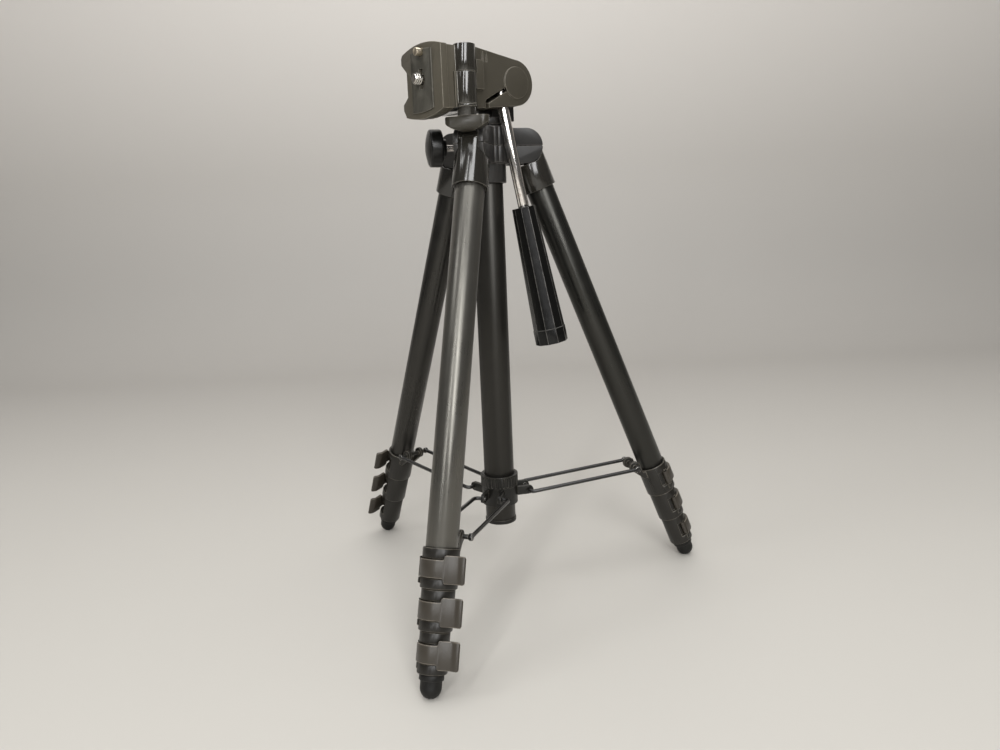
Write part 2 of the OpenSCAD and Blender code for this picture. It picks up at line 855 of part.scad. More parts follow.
module platform() {
    lug_low = barrel_split + free;
    color("#4d4b47")
        head_frame() difference() {
            union() {
                front_plate(platform_x, face_x) platform_outline();
                // step on the hinge side, which carries the knuckle
                intersection() {
                    front_plate(plate_x, platform_x + eps) platform_lens(plate_inset);
                    translate([0, step_far, platform_low])
                        cube([100, platform_w, platform_h]);
                }
                translate([barrel_x, barrel_y, lug_low])
                    cylinder(r = barrel_r, h = barrel_high - lug_low);
                translate([barrel_x, barrel_y - 5, lug_low])
                    cube([platform_x - barrel_x, platform_near - plate_inset - barrel_y + 5,
                          barrel_high - 0.8 - lug_low]);
            }
            translate([barrel_x, barrel_y, lug_low - 1])
                cylinder(r = bolt_r + run, h = barrel_high - lug_low - 0.6);
            // pocket of the screw's wheel, its bore, the slot and the video pin
            translate([wheel_x - free, mount_y, mount_z]) rotate([0, 90, 0])
                cylinder(r = wheel_r + free, h = wheel_t + 2 * free);
            translate([wheel_x, mount_y, mount_z]) rotate([0, 90, 0])
                cylinder(r = mount_r + run, h = 20);
            translate([face_x - 1.6, mount_y - slot_half, mount_z - slot_len / 2])
                cube([5, 2 * slot_half, slot_len]);
            translate([video_seat, video_y, video_z]) rotate([0, 90, 0])
                cylinder(r = video_r + run, h = 20);
        }
}

module platform_pad() {
    color("#1a1a19")
        head_frame() difference() {
            intersection() {
                front_plate(face_x, face_x + pad_t) platform_lens(pad_end);
                translate([0, platform_near - pad_inset - pad_w, platform_low])
                    cube([100, pad_w, platform_h]);
            }
            translate([0, mount_y, mount_z]) rotate([0, 90, 0])
                cylinder(r = mount_r + 0.3, h = 100);
            translate([0, mount_y - slot_half, mount_z - slot_len / 2])
                cube([100, 2 * slot_half, slot_len]);
            translate([0, video_y, video_z]) rotate([0, 90, 0])
                cylinder(r = video_r + 0.3, h = 100);
        }
}

module camera_screw() {
    color("silver")
        head_frame() translate([0, mount_y, mount_z]) rotate([0, 90, 0]) {
            translate([0, 0, wheel_x]) cylinder(r = wheel_r, h = wheel_t);
            translate([0, 0, wheel_x]) cylinder(r = neck_r, h = thread_x - wheel_x + eps);
            translate([0, 0, thread_x]) cylinder(r = mount_r, h = mount_out - thread_start);
        }
}

module video_pin() {
    back = video_seat + video_out + free;
    color("#b08d57")
        head_frame() translate([back, video_y, video_z]) rotate([0, 90, 0])
            cylinder(r = video_r, h = face_x + pad_t + video_out - back);
}

// Wing knob with the bolt that clamps the platform hinge.
module flip_knob() {
    ring_low = barrel_low - free - ring_t;
    wing_low = knob_high - knob_h;
    color("#33322f")
        head_frame() translate([barrel_x, barrel_y, 0]) {
            translate([0, 0, ring_low]) cylinder(r = ring_r, h = ring_t);
            translate([0, 0, knob_high - eps])
                cylinder(r = shank_r, h = ring_low - knob_high + 2 * eps);
            translate([0, 0, wing_low]) rotate([0, 0, knob_turn])
                intersection() {
                    union() {
                        translate([-knob_len / 2 + knob_half, -knob_half, 0])
                            cube([knob_len - 2 * knob_half, 2 * knob_half, knob_h]);
                        for (end = [-1, 1])
                            translate([end * (knob_len / 2 - knob_half), 0, 0])
                                cylinder(r = knob_half, h = knob_h);
                    }
                    // the wing is bowed below from end to end and from side to side
                    cross_cylinder(0, knob_bow_r, knob_bow_r, knob_half + 1);
                    union() {
                        translate([-knob_len / 2, 0, knob_round_r]) rotate([0, 90, 0])
                            cylinder(r = knob_round_r, h = knob_len);
                        translate([-knob_len / 2, -knob_half - 1, knob_round_r])
                            cube([knob_len, 2 * knob_half + 2, knob_h]);
                    }
                }
            translate([0, 0, ring_low + ring_t - eps])
                cylinder(r = bolt_r, h = barrel_high - 2 - barrel_low + free);
        }
}

// ---------------------------------------------------------------- parts

hub_lower();
hub_upper();
leg_pins();
centre_tube();
tube_end_cap();
inner_column();
lock_knob();
lock_screw();
brace_collar();
pan_base();
tilt_axle();
pan_screw();
tilt_housing();
handle_rod();
handle_grip();
platform();
platform_pad();
flip_knob();
camera_screw();
video_pin();
for (leg = [0 : 2]) {
    brace_arm(leg);
    sleeve(leg);
    foot(leg);
    for (k = [1 : 4])
        leg_tube(leg, k);
    for (k = [1 : 3]) {
        clamp(leg, k);
        lever(leg, k);
    }
}
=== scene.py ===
"""Looks of a compact four-section tripod with a pan and tilt head.

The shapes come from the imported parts. Each sub-assembly rounds the edges of its
parts, adds their fine detail, gives them a finish and keeps them on their bodies.
"""

import json
import logging
import math
from dataclasses import dataclass
from enum import Enum
from typing import Callable, Protocol, Sequence

import bmesh
import bpy
from mathutils import Matrix, Vector


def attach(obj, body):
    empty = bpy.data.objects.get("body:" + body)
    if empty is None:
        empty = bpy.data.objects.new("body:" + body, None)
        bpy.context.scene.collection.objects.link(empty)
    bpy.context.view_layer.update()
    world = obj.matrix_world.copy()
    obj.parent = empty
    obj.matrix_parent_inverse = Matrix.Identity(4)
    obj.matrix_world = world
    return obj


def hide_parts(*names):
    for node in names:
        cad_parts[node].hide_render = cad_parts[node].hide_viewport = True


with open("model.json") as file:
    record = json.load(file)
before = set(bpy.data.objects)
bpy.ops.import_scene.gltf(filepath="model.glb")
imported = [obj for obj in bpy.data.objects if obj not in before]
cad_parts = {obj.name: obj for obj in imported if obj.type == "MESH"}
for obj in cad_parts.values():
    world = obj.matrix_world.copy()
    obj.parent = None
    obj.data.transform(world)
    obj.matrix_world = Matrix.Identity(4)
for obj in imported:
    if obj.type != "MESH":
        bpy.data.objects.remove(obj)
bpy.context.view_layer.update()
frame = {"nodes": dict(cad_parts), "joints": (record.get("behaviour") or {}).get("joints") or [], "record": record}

MM = 0.001
EDGE_WIDTH = 0.22 * MM
EDGE_ANGLE = math.radians(28)
EDGE_NAME = "edge"
EDGE_STEPS = 2
MERGE_GAP = 0.012 * MM
MERGE_ANGLE = math.radians(0.4)
DOUBLES_GAP = 0.001 * MM
UP = Vector((0, 0, 1))
log = logging.getLogger("tripod")

Colour = tuple[float, float, float]
Setting = "Signal | float | Sequence[float]"


# ---------------------------------------------------------------- shader maths


@dataclass(frozen=True)
class Signal:
    """One output of a material's tree, on which arithmetic adds Math nodes."""

    painter: "Painter"
    socket: bpy.types.NodeSocket

    def _math(self, operation: str, first: Setting, second: Setting) -> "Signal":
        """The result of one Math node on two values."""
        return self.painter.node("ShaderNodeMath", {"operation": operation}, {0: first, 1: second})

    def __add__(self, other: Setting) -> "Signal":
        """Sum with a signal or a number."""
        return self._math("ADD", self, other)

    def __sub__(self, other: Setting) -> "Signal":
        """Difference to a signal or a number."""
        return self._math("SUBTRACT", self, other)

    def __rsub__(self, other: Setting) -> "Signal":
        """A number less this signal."""
        return self._math("SUBTRACT", other, self)

    def __mul__(self, other: Setting) -> "Signal":
        """Product with a signal or a number."""
        return self._math("MULTIPLY", self, other)

    __radd__ = __add__
    __rmul__ = __mul__


class Painter:
    """Builds the node tree of one material."""

    OBJECT_OUT = 3
    FACTOR_OUT = 2
    DOT_OUT = 1
    MIXED_OUT = 2

    def __init__(self, name: str) -> None:
        """Starts an empty material.

        Args:
            name: Name of the material.
        """
        self.material = bpy.data.materials.new(name)
        self.material.use_nodes = True
        self.tree = self.material.node_tree
        self.tree.nodes.clear()

    def node(
        self,
        kind: str,
        settings: dict[str, object],
        inputs: dict[int | str, Setting],
        output: int = 0,
    ) -> Signal:
        """Adds one node.

        Args:
            kind: Blender's type name of the node.
            settings: Properties of the node, set before its inputs.
            inputs: Value or signal of each input, by name or index.
            output: Index of the output that is handed back.

        Returns:
            The chosen output of the node.
        """
        made = self.tree.nodes.new(kind)
        for key, value in settings.items():
            setattr(made, key, value)
        for key, value in inputs.items():
            if isinstance(value, Signal):
                self.tree.links.new(value.socket, made.inputs[key])
            else:
                made.inputs[key].default_value = value
        return Signal(self, made.outputs[output])

    def place(self) -> Signal:
        """Object coordinates of the shaded point, in metres."""
        return self.node("ShaderNodeTexCoord", {}, {}, self.OBJECT_OUT)

    def edge(self) -> Signal:
        """One on the rounded edges of a piece and nought elsewhere."""
        return self.node("ShaderNodeAttribute", {"attribute_name": EDGE_NAME}, {}, self.FACTOR_OUT)

    def reach(self, place: Signal, way: Vector) -> Signal:
        """How far a point lies along a direction."""
        inputs = {0: place, 1: tuple(way)}
        return self.node("ShaderNodeVectorMath", {"operation": "DOT_PRODUCT"}, inputs, self.DOT_OUT)

    def along(self, place: Signal, axis: Vector, stretch: float) -> Signal:
        """Draws a pattern out along an axis.

        Args:
            place: Coordinates to change.
            axis: Unit direction of the grain.
            stretch: How many times longer than wide the pattern becomes.

        Returns:
            The changed coordinates.
        """
        shrink = self.reach(place, axis) * (1 / stretch - 1)
        push = self.node("ShaderNodeVectorMath", {"operation": "SCALE"}, {0: tuple(axis), 3: shrink})
        return self.node("ShaderNodeVectorMath", {"operation": "ADD"}, {0: place, 1: push})

    def noise(self, place: Signal, size: float, detail: float = 2, warp: float = 0) -> Signal:
        """Soft noise from 0 to 1.

        Args:
            place: Coordinates to read.
            size: Width of one blotch in metres.
            detail: Number of finer layers.
            warp: How far the blotches are drawn about.

        Returns:
            The noise.
        """
        inputs = {"Vector": place, "Scale": 1 / size, "Detail": detail, "Distortion": warp}
        return self.node("ShaderNodeTexNoise", {}, inputs)

    def cells(self, place: Signal, size: float) -> Signal:
        """Distance to the nearest of scattered points, for pits and specks."""
        return self.node("ShaderNodeTexVoronoi", {}, {"Vector": place, "Scale": 1 / size})

    def step(self, value: Signal, low: float, high: float, start: float = 0, end: float = 1) -> Signal:
        """Maps a range onto another, with its ends held.

        Args:
            value: Signal to map.
            low: Value that becomes start.
            high: Value that becomes end.
            start: First result.
            end: Last result.

        Returns:
            The mapped signal.
        """
        inputs = {0: value, 1: low, 2: high, 3: start, 4: end}
        return self.node("ShaderNodeMapRange", {"interpolation_type": "SMOOTHSTEP"}, inputs)

    def blend(self, first: "Signal | Colour", second: "Signal | Colour", share: Signal) -> Signal:
        """Mixes two colours.

        Args:
            first: Colour at a share of nought.
            second: Colour at a share of one.
            share: How much of the second colour shows.

        Returns:
            The mixed colour.
        """
        first, second = (c if isinstance(c, Signal) else (*c, 1) for c in (first, second))
        inputs = {0: share, 6: first, 7: second}
        return self.node("ShaderNodeMix", {"data_type": "RGBA"}, inputs, self.MIXED_OUT)

    def bump(self, height: Signal, depth: float, under: Signal | None = None) -> Signal:
        """Raises and sinks the surface.

        Args:
            height: Signal from 0 to 1.
            depth: Difference in metres between the two.
            under: Relief that this one lies on, if there is one.

        Returns:
            The relief.
        """
        inputs = {"Strength": 1.0, "Distance": depth, "Height": height}
        if under is not None:
            inputs["Normal"] = under
        return self.node("ShaderNodeBump", {}, inputs)

    def finish(self, **inputs: Setting) -> bpy.types.Material:
        """Ends the tree with one shader.

        Args:
            **inputs: Sockets of the shader, with underscores for spaces.

        Returns:
            The finished material.
        """
        named = {key.replace("_", " "): value for key, value in inputs.items()}
        shader = self.node("ShaderNodeBsdfPrincipled", {}, named)
        end = self.tree.nodes.new("ShaderNodeOutputMaterial")
        self.tree.links.new(shader.socket, end.inputs["Surface"])
        return self.material


def tint(colour: Colour, factor: float) -> Colour:
    """The colour, lighter or darker by a factor."""
    return tuple(min(1.0, part * factor) for part in colour)


# ---------------------------------------------------------------- finishes


class Finish(Protocol):
    """Anything that paints a material and knows its slot in the record."""

    name: str
    slot: str

    def paint(self) -> bpy.types.Material:
        """Builds the material."""


@dataclass(frozen=True)
class Moulded:
    """Moulded plastic or rubber: mottled, finely grained and rubbed bright on its edges."""

    name: str
    slot: str
    colour: Colour
    rubbed: Colour
    roughness: float
    grain: float = 0.45 * MM
    depth: float = 0.016 * MM
    wear: float = 0.7
    dust: float = 0.0
    mottle: float = 0.12
    gloss: float = 0.5
    coat: float = 0.0
    coat_rough: float = 0.12
    cloud: float = 14 * MM
    smear: float = 4 * MM
    speck: float = 1.6 * MM
    speck_share: float = 0.12
    edge_polish: float = 0.08

    def paint(self) -> bpy.types.Material:
        """Builds the material.

        Returns:
            A material of the finish's name.
        """
        painter = Painter(self.name)
        place = painter.place()
        cloud = painter.noise(place, self.cloud, 3, 0.6)
        smear = painter.noise(place, self.smear, 4, 1.2)
        grain = painter.noise(place, self.grain, 3)
        specks = painter.cells(place, self.speck)
        dark, light = tint(self.colour, 1 - self.mottle), tint(self.colour, 1 + self.mottle)
        base = painter.blend(dark, light, cloud)
        speck = painter.step(specks, 0.16, 0.05) * painter.step(smear, 0.5, 0.62)
        share = self.speck_share + 0.5 * self.dust
        base = painter.blend(base, tint(self.rubbed, 1.25), speck * share)
        film = painter.step(cloud, 0.42, 0.75) * self.dust
        base = painter.blend(base, tint(self.rubbed, 1.1), film)
        worn = painter.edge() * painter.step(smear, 0.3, 0.62, 0.35, 1) * self.wear
        base = painter.blend(base, self.rubbed, worn)
        rough = painter.step(smear, 0.25, 0.75, self.roughness - 0.02, self.roughness + 0.03)
        rough = rough - worn * self.edge_polish + film * 0.3
        relief = painter.bump(grain, self.depth)
        return painter.finish(
            Base_Color=base,
            Roughness=rough,
            Normal=relief,
            Specular_IOR_Level=self.gloss,
            Coat_Weight=self.coat,
            Coat_Roughness=self.coat_rough,
        )


@dataclass(frozen=True)
class Drawn:
    """Satin metal drawn out along an axis, with faint lines, scuffs and rub rings."""

    name: str
    slot: str
    colour: Colour
    axis: Vector
    metallic: float = 0.8
    roughness: float = 0.31
    lines: float = 0.025
    scuffs: float = 0.25
    stretch: float = 90
    streak: float = 0.55 * MM
    band: float = 3.2 * MM
    cloud: float = 24 * MM
    grain: float = 0.3 * MM
    scratch: float = 1.1 * MM
    scratch_stretch: float = 14
    streak_depth: float = 0.0012 * MM
    grain_depth: float = 0.003 * MM

    def paint(self) -> bpy.types.Material:
        """Builds the material.

        Returns:
            A material of the finish's name.
        """
        painter = Painter(self.name)
        place = painter.place()
        drawn = painter.along(place, self.axis, self.stretch)
        streak = painter.noise(drawn, self.streak, 3)
        band = painter.noise(drawn, self.band, 2)
        cloud = painter.noise(place, self.cloud, 4, 0.8)
        grain = painter.noise(place, self.grain, 2)
        rubbed = painter.along(place, self.axis, self.scratch_stretch)
        scratch = painter.noise(rubbed, self.scratch, 5, 0.4)
        mark = painter.step(scratch, 0.68, 0.78) * painter.step(cloud, 0.4, 0.62)
        base = painter.blend(tint(self.colour, 0.95), tint(self.colour, 1.05), streak)
        base = painter.blend(base, tint(self.colour, 1.15), band * cloud)
        worn = painter.edge() * 0.8
        base = painter.blend(base, tint(self.colour, 3.0), mark * self.scuffs)
        base = painter.blend(base, tint(self.colour, 4.0), worn)
        rough = painter.step(streak, 0.3, 0.7, self.roughness - self.lines, self.roughness + self.lines)
        rough = rough + painter.step(cloud, 0.35, 0.7, -0.03, 0.05) - mark * 0.06
        fine = painter.bump(grain, self.grain_depth)
        relief = painter.bump(streak, self.streak_depth, fine)
        return painter.finish(
            Base_Color=base, Metallic=self.metallic, Roughness=rough, Normal=relief
        )


@dataclass(frozen=True)
class Plated:
    """Bright metal with brush lines round or along its axis and a little tarnish."""

    name: str
    slot: str
    colour: Colour
    tarnish: Colour
    axis: Vector
    roughness: float = 0.14
    brush: float = 0.012 * MM
    stretch: float = 30
    line: float = 0.3 * MM
    cloud: float = 3.5 * MM
    spot: float = 0.9 * MM
    dullness: float = 0.55

    def paint(self) -> bpy.types.Material:
        """Builds the material.

        Returns:
            A material of the finish's name.
        """
        painter = Painter(self.name)
        place = painter.place()
        brushed = painter.noise(painter.along(place, self.axis, self.stretch), self.line, 3)
        cloud = painter.noise(place, self.cloud, 4, 0.9)
        spots = painter.step(painter.cells(place, self.spot), 0.22, 0.05)
        dull = painter.step(cloud, 0.48, 0.72) * self.dullness
        base = painter.blend(self.colour, self.tarnish, dull)
        base = painter.blend(base, tint(self.tarnish, 0.5), spots * dull)
        rough = painter.step(brushed, 0.3, 0.7, self.roughness - 0.04, self.roughness + 0.07)
        rough = rough + dull * 0.16
        relief = painter.bump(brushed, self.brush)
        return painter.finish(Base_Color=base, Metallic=1.0, Roughness=rough, Normal=relief)


@dataclass(frozen=True)
class Lacquered:
    """Black lacquer over wire, rubbed through to bare metal in patches and on its ends."""

    name: str
    slot: str
    colour: Colour
    metal: Colour
    rubbed: float = 0.62
    patch: float = 5 * MM
    chip: float = 0.7 * MM
    film: float = 0.02 * MM
    ripple: float = 0.01 * MM
    coat: float = 0.3

    def paint(self) -> bpy.types.Material:
        """Builds the material.

        Returns:
            A material of the finish's name.
        """
        painter = Painter(self.name)
        place = painter.place()
        patch = painter.noise(place, self.patch, 5, 1.4)
        chip = painter.noise(place, self.chip, 3)
        bare = painter.step(patch + chip * 0.16, self.rubbed, self.rubbed + 0.05)
        ends = painter.edge() * painter.step(chip, 0.3, 0.6)
        bare = painter.node("ShaderNodeMath", {"operation": "MAXIMUM"}, {0: bare, 1: ends})
        lacquer = painter.blend(tint(self.colour, 0.7), tint(self.colour, 1.6), patch)
        base = painter.blend(lacquer, self.metal, bare)
        rough = painter.step(chip, 0.3, 0.7, 0.26, 0.4) - bare * 0.06
        relief = painter.bump(1 - bare, self.film, painter.bump(chip, self.ripple))
        return painter.finish(
            Base_Color=base, Metallic=bare, Roughness=rough, Normal=relief, Coat_Weight=self.coat
        )


HUB = Moulded(
    "hub_black", "hub_plastic", (0.023, 0.022, 0.021), (0.14, 0.13, 0.12), 0.42,
    depth=0.02 * MM, mottle=0.3, coat=0.05,
)
PAN = Moulded("pan_black", "hub_plastic", (0.013, 0.012, 0.011), (0.10, 0.09, 0.08), 0.36)
SLEEVE = Moulded(
    "sleeve_black", "sleeve_plastic", (0.017, 0.0155, 0.0125), (0.13, 0.12, 0.10), 0.21,
    depth=0.003 * MM, mottle=0.06, coat=0.5,
)
CLAMP = Moulded(
    "clamp_black", "clamp_plastic", (0.014, 0.0125, 0.010), (0.14, 0.125, 0.10), 0.36,
    depth=0.008 * MM, gloss=0.4,
)
LEVER = Moulded(
    "lever_black", "lever_plastic", (0.041, 0.035, 0.027), (0.20, 0.175, 0.14), 0.38,
    depth=0.010 * MM,
)
HEAD = Moulded("head_olive", "head_plastic", (0.052, 0.046, 0.034), (0.21, 0.19, 0.15), 0.44)
SLAB = Moulded("slab_olive", "head_plastic", (0.080, 0.071, 0.053), (0.26, 0.24, 0.19), 0.42)
WING = Moulded(
    "wing_olive", "head_plastic", (0.036, 0.032, 0.024), (0.17, 0.155, 0.125), 0.34,
    depth=0.008 * MM,
)
BARREL = Moulded(
    "barrel_gloss", "head_plastic", (0.022, 0.020, 0.016), (0.26, 0.245, 0.21), 0.15,
    depth=0.002 * MM, mottle=0.05, coat=0.7,
)
COLLAR = Moulded(
    "collar_black", "collar_plastic", (0.010, 0.0095, 0.008), (0.12, 0.11, 0.09), 0.40, gloss=0.35,
)
KNOB = Moulded(
    "knob_black", "knob_plastic", (0.006, 0.0057, 0.0052), (0.10, 0.095, 0.085), 0.30,
    depth=0.006 * MM, gloss=0.35,
)
GRIP = Moulded(
    "grip_black", "grip_plastic", (0.004, 0.004, 0.0037), (0.13, 0.125, 0.115), 0.23,
    depth=0.004 * MM, mottle=0.08, gloss=0.3,
)
FOOT = Moulded(
    "foot_rubber", "foot_rubber", (0.006, 0.0057, 0.005), (0.06, 0.056, 0.05), 0.5,
    grain=0.7 * MM, depth=0.04 * MM, wear=0.4, dust=0.1, gloss=0.3,
)
PAD = Moulded(
    "pad_rubber", "pad_rubber", (0.050, 0.047, 0.038), (0.20, 0.19, 0.16), 0.66,
    grain=0.8 * MM, depth=0.12 * MM, wear=0.8, dust=0.3, gloss=0.35,
)
WIRE = Lacquered("wire_lacquer", "brace_wire", (0.007, 0.0065, 0.006), (0.50, 0.48, 0.45), 0.80)
STEEL = Plated("bright_steel", "bright_steel", (0.76, 0.73, 0.70), (0.44, 0.37, 0.32), UP)
SCREW = Plated("screw_steel", "screw_steel", (0.70, 0.68, 0.64), (0.30, 0.27, 0.23), UP, 0.22)
BRASS = Plated("pin_brass", "pin_brass", (0.82, 0.73, 0.58), (0.52, 0.43, 0.31), UP, 0.26)
COLUMN = Drawn("column_alloy", "column_alloy", (0.032, 0.030, 0.026), UP, 0.6, 0.38)


# ---------------------------------------------------------------- building pieces


class Bench:
    """Makes pieces, dresses them and puts them on their bodies."""

    def __init__(self) -> None:
        """Starts with no material painted and no piece made."""
        self._painted: dict[str, bpy.types.Material] = {}
        self.made: list[bpy.types.Object] = []

    def paint(self, finish: Finish) -> bpy.types.Material:
        """The material of a finish, built the first time that it is asked for."""
        if finish.name not in self._painted:
            self._painted[finish.name] = finish.paint()
        return self._painted[finish.name]

    def body_of(self, node: str) -> str:
        """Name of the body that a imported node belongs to."""
        bodies = frame["record"]["behaviour"]["bodies"]
        return next(body for body, nodes in bodies.items() if node in nodes)

    def keep(
        self,
        mesh: bpy.types.Mesh,
        name: str,
        body: str,
        finish: Finish,
        nodes: Sequence[str] = (),
    ) -> bpy.types.Object:
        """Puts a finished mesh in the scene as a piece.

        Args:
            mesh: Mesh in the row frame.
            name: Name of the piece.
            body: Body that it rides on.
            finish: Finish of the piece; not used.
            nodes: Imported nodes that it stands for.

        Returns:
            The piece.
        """
        piece = bpy.data.objects.new(name, mesh)
        bpy.context.scene.collection.objects.link(piece)
        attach(piece, body)
        if nodes:
            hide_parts(*nodes)
        self.made.append(piece)
        log.info("%s rides on %s: %d faces", name, body, len(mesh.polygons))
        return piece

    def soften(
        self, node: str, finish: Finish, width: float = EDGE_WIDTH, angle: float = EDGE_ANGLE
    ) -> bpy.types.Object:
        """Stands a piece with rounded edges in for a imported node.

        Args:
            node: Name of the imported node.
            finish: Finish of the piece.
            width: Width of the rounding.
            angle: Least turn between two faces whose edge is rounded.

        Returns:
            The piece.
        """
        mesh = rounded_copy(frame["nodes"][node].data, node, width, angle)
        mesh.materials.append(self.paint(finish))
        return self.keep(mesh, f"{node}_skin", self.body_of(node), finish, (node,))

    def accent(
        self, piece: bpy.types.Object, finish: Finish, chosen: Callable[[Vector], bool]
    ) -> None:
        """Gives some faces of a piece another finish.

        Args:
            piece: Piece to change.
            finish: Finish of the chosen faces.
            chosen: Whether the face with that centre is changed.
        """
        mesh = piece.data
        mesh.materials.append(self.paint(finish))
        index = len(mesh.materials) - 1
        for face in mesh.polygons:
            if chosen(face.center):
                face.material_index = index


def rounded_copy(source: bpy.types.Mesh, name: str, width: float, angle: float) -> bpy.types.Mesh:
    """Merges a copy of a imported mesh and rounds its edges.

    Args:
        source: Mesh of loose triangles.
        name: Name of the new mesh.
        width: Width of the rounding in metres.
        angle: Least turn between two faces whose edge is rounded.

    Returns:
        A closed mesh whose rounded faces carry the edge attribute.
    """
    work = bmesh.new()
    work.from_mesh(source)
    bmesh.ops.remove_doubles(work, verts=work.verts, dist=MERGE_GAP)
    bmesh.ops.dissolve_degenerate(work, edges=work.edges, dist=MERGE_GAP)
    bmesh.ops.dissolve_limit(work, angle_limit=MERGE_ANGLE, verts=work.verts, edges=work.edges)
    mesh = bpy.data.meshes.new(f"{name}_rough")
    work.to_mesh(mesh)
    work.free()
    mesh.materials.clear()
    mesh.materials.append(None)
    mesh.materials.append(None)
    for face in mesh.polygons:
        face.use_smooth = True
        face.material_index = 0
    holder = bpy.data.objects.new(f"{name}_rough", mesh)
    bpy.context.scene.collection.objects.link(holder)
    bevel = holder.modifiers.new("round", "BEVEL")
    bevel.width = width
    bevel.segments = EDGE_STEPS
    bevel.limit_method = "ANGLE"
    bevel.angle_limit = angle
    bevel.use_clamp_overlap = False
    bevel.harden_normals = True
    bevel.material = 1
    made = plain_mesh(holder, name)
    mark_edges(made)
    return made


def mark_edges(mesh: bpy.types.Mesh) -> None:
    """Turns the second material of a mesh into its edge attribute.

    Args:
        mesh: Mesh whose rounded faces have the second material.
    """
    edge = mesh.attributes.new(EDGE_NAME, "FLOAT", "CORNER")
    for face in mesh.polygons:
        rounded = 1.0 if face.material_index == 1 else 0.0
        for corner in face.loop_indices:
            edge.data[corner].value = rounded
        face.material_index = 0
    mesh.materials.clear()


def plain_mesh(holder: bpy.types.Object, name: str) -> bpy.types.Mesh:
    """The evaluated mesh of an object, which is then removed with its modifiers.

    Args:
        holder: Object with modifiers.
        name: Name of the new mesh.

    Returns:
        A plain mesh.
    """
    bpy.context.view_layer.update()
    graph = bpy.context.evaluated_depsgraph_get()
    mesh = bpy.data.meshes.new_from_object(holder.evaluated_get(graph), depsgraph=graph)
    mesh.name = name
    rough = holder.data
    holder.modifiers.clear()
    bpy.data.objects.remove(holder)
    bpy.data.meshes.remove(rough)
    return mesh


class Grower:
    """Builds a geometry tree with named sizes and turns what it makes into a mesh."""

    SOCKETS = {int: "NodeSocketInt", float: "NodeSocketFloat", Vector: "NodeSocketVector"}

    def __init__(self, name: str, sizes: dict[str, int | float | Vector]) -> None:
        """Starts a tree.

        Args:
            name: Name of the tree and of what it makes.
            sizes: Named inputs with their values.
        """
        self.name = name
        self.sizes = sizes
        self.tree = bpy.data.node_groups.new(name, "GeometryNodeTree")
        sockets = self.tree.interface
        sockets.new_socket("Geometry", in_out="OUTPUT", socket_type="NodeSocketGeometry")
        self.keys = {
            label: sockets.new_socket(label, socket_type=self.SOCKETS[type(value)]).identifier
            for label, value in sizes.items()
        }
        finish = sockets.new_socket("Finish", socket_type="NodeSocketMaterial")
        self.finish_key = finish.identifier
        self.inlet = self.tree.nodes.new("NodeGroupInput")

    def size(self, label: str) -> bpy.types.NodeSocket:
        """The socket of a named input."""
        return self.inlet.outputs[label]

    def node(
        self, kind: str, settings: dict[str, object], inputs: dict[str, object]
    ) -> bpy.types.NodeSocket:
        """Adds one node.

        Args:
            kind: Blender's type name of the node.
            settings: Properties of the node, set before its inputs.
            inputs: Value or socket of each input.

        Returns:
            The first output of the node.
        """
        made = self.tree.nodes.new(kind)
        for key, value in settings.items():
            setattr(made, key, value)
        for key, value in inputs.items():
            if isinstance(value, bpy.types.NodeSocket):
                self.tree.links.new(value, made.inputs[key])
            else:
                made.inputs[key].default_value = value
        return made.outputs[0]

    def grow(self, shape: bpy.types.NodeSocket, material: bpy.types.Material) -> bpy.types.Mesh:
        """Ends the tree and runs it.

        Args:
            shape: Geometry that the tree has made.
            material: Material that it is given.

        Returns:
            A plain mesh about the origin.
        """
        plain = self.node("GeometryNodeRealizeInstances", {}, {"Geometry": shape})
        inputs = {"Geometry": plain, "Material": self.size("Finish")}
        dressed = self.node("GeometryNodeSetMaterial", {}, inputs)
        outlet = self.tree.nodes.new("NodeGroupOutput")
        self.tree.links.new(dressed, outlet.inputs[0])
        holder = bpy.data.objects.new(self.name, bpy.data.meshes.new(self.name))
        bpy.context.scene.collection.objects.link(holder)
        modifier = holder.modifiers.new("grow", "NODES")
        modifier.node_group = self.tree
        for label, value in self.sizes.items():
            modifier[self.keys[label]] = value
        modifier[self.finish_key] = material
        return plain_mesh(holder, self.name)


THREAD_FILL = 0.49
THREAD_STEPS = 24
RIB_SIDES = 8


def thread(
    name: str, radius: float, pitch: float, length: float, material: bpy.types.Material
) -> bpy.types.Mesh:
    """A screw thread up the z axis.

    Args:
        name: Name of the mesh.
        radius: Outer radius of the thread.
        pitch: Rise of one turn.
        length: Height of the thread.
        material: Its material.

    Returns:
        The ridge of the thread, from the origin up.
    """
    ridge = pitch * THREAD_FILL
    rise = length - pitch
    sizes = {"Radius": radius - ridge, "Turns": rise / pitch, "Rise": rise, "Ridge": ridge}
    grower = Grower(name, sizes)
    inputs = {
        "Resolution": THREAD_STEPS,
        "Rotations": grower.size("Turns"),
        "Start Radius": grower.size("Radius"),
        "End Radius": grower.size("Radius"),
        "Height": grower.size("Rise"),
    }
    path = grower.node("GeometryNodeCurveSpiral", {}, inputs)
    path = grower.node("GeometryNodeSetCurveNormal", {"mode": "Z_UP"}, {"Curve": path})
    inputs = {"Resolution": 4, "Radius": grower.size("Ridge")}
    outline = grower.node("GeometryNodeCurvePrimitiveCircle", {}, inputs)
    inputs = {"Curve": path, "Profile Curve": outline, "Fill Caps": True}
    mesh = grower.grow(grower.node("GeometryNodeCurveToMesh", {}, inputs), material)
    mesh.transform(Matrix.Translation(UP * pitch / 2))
    return outward(mesh)


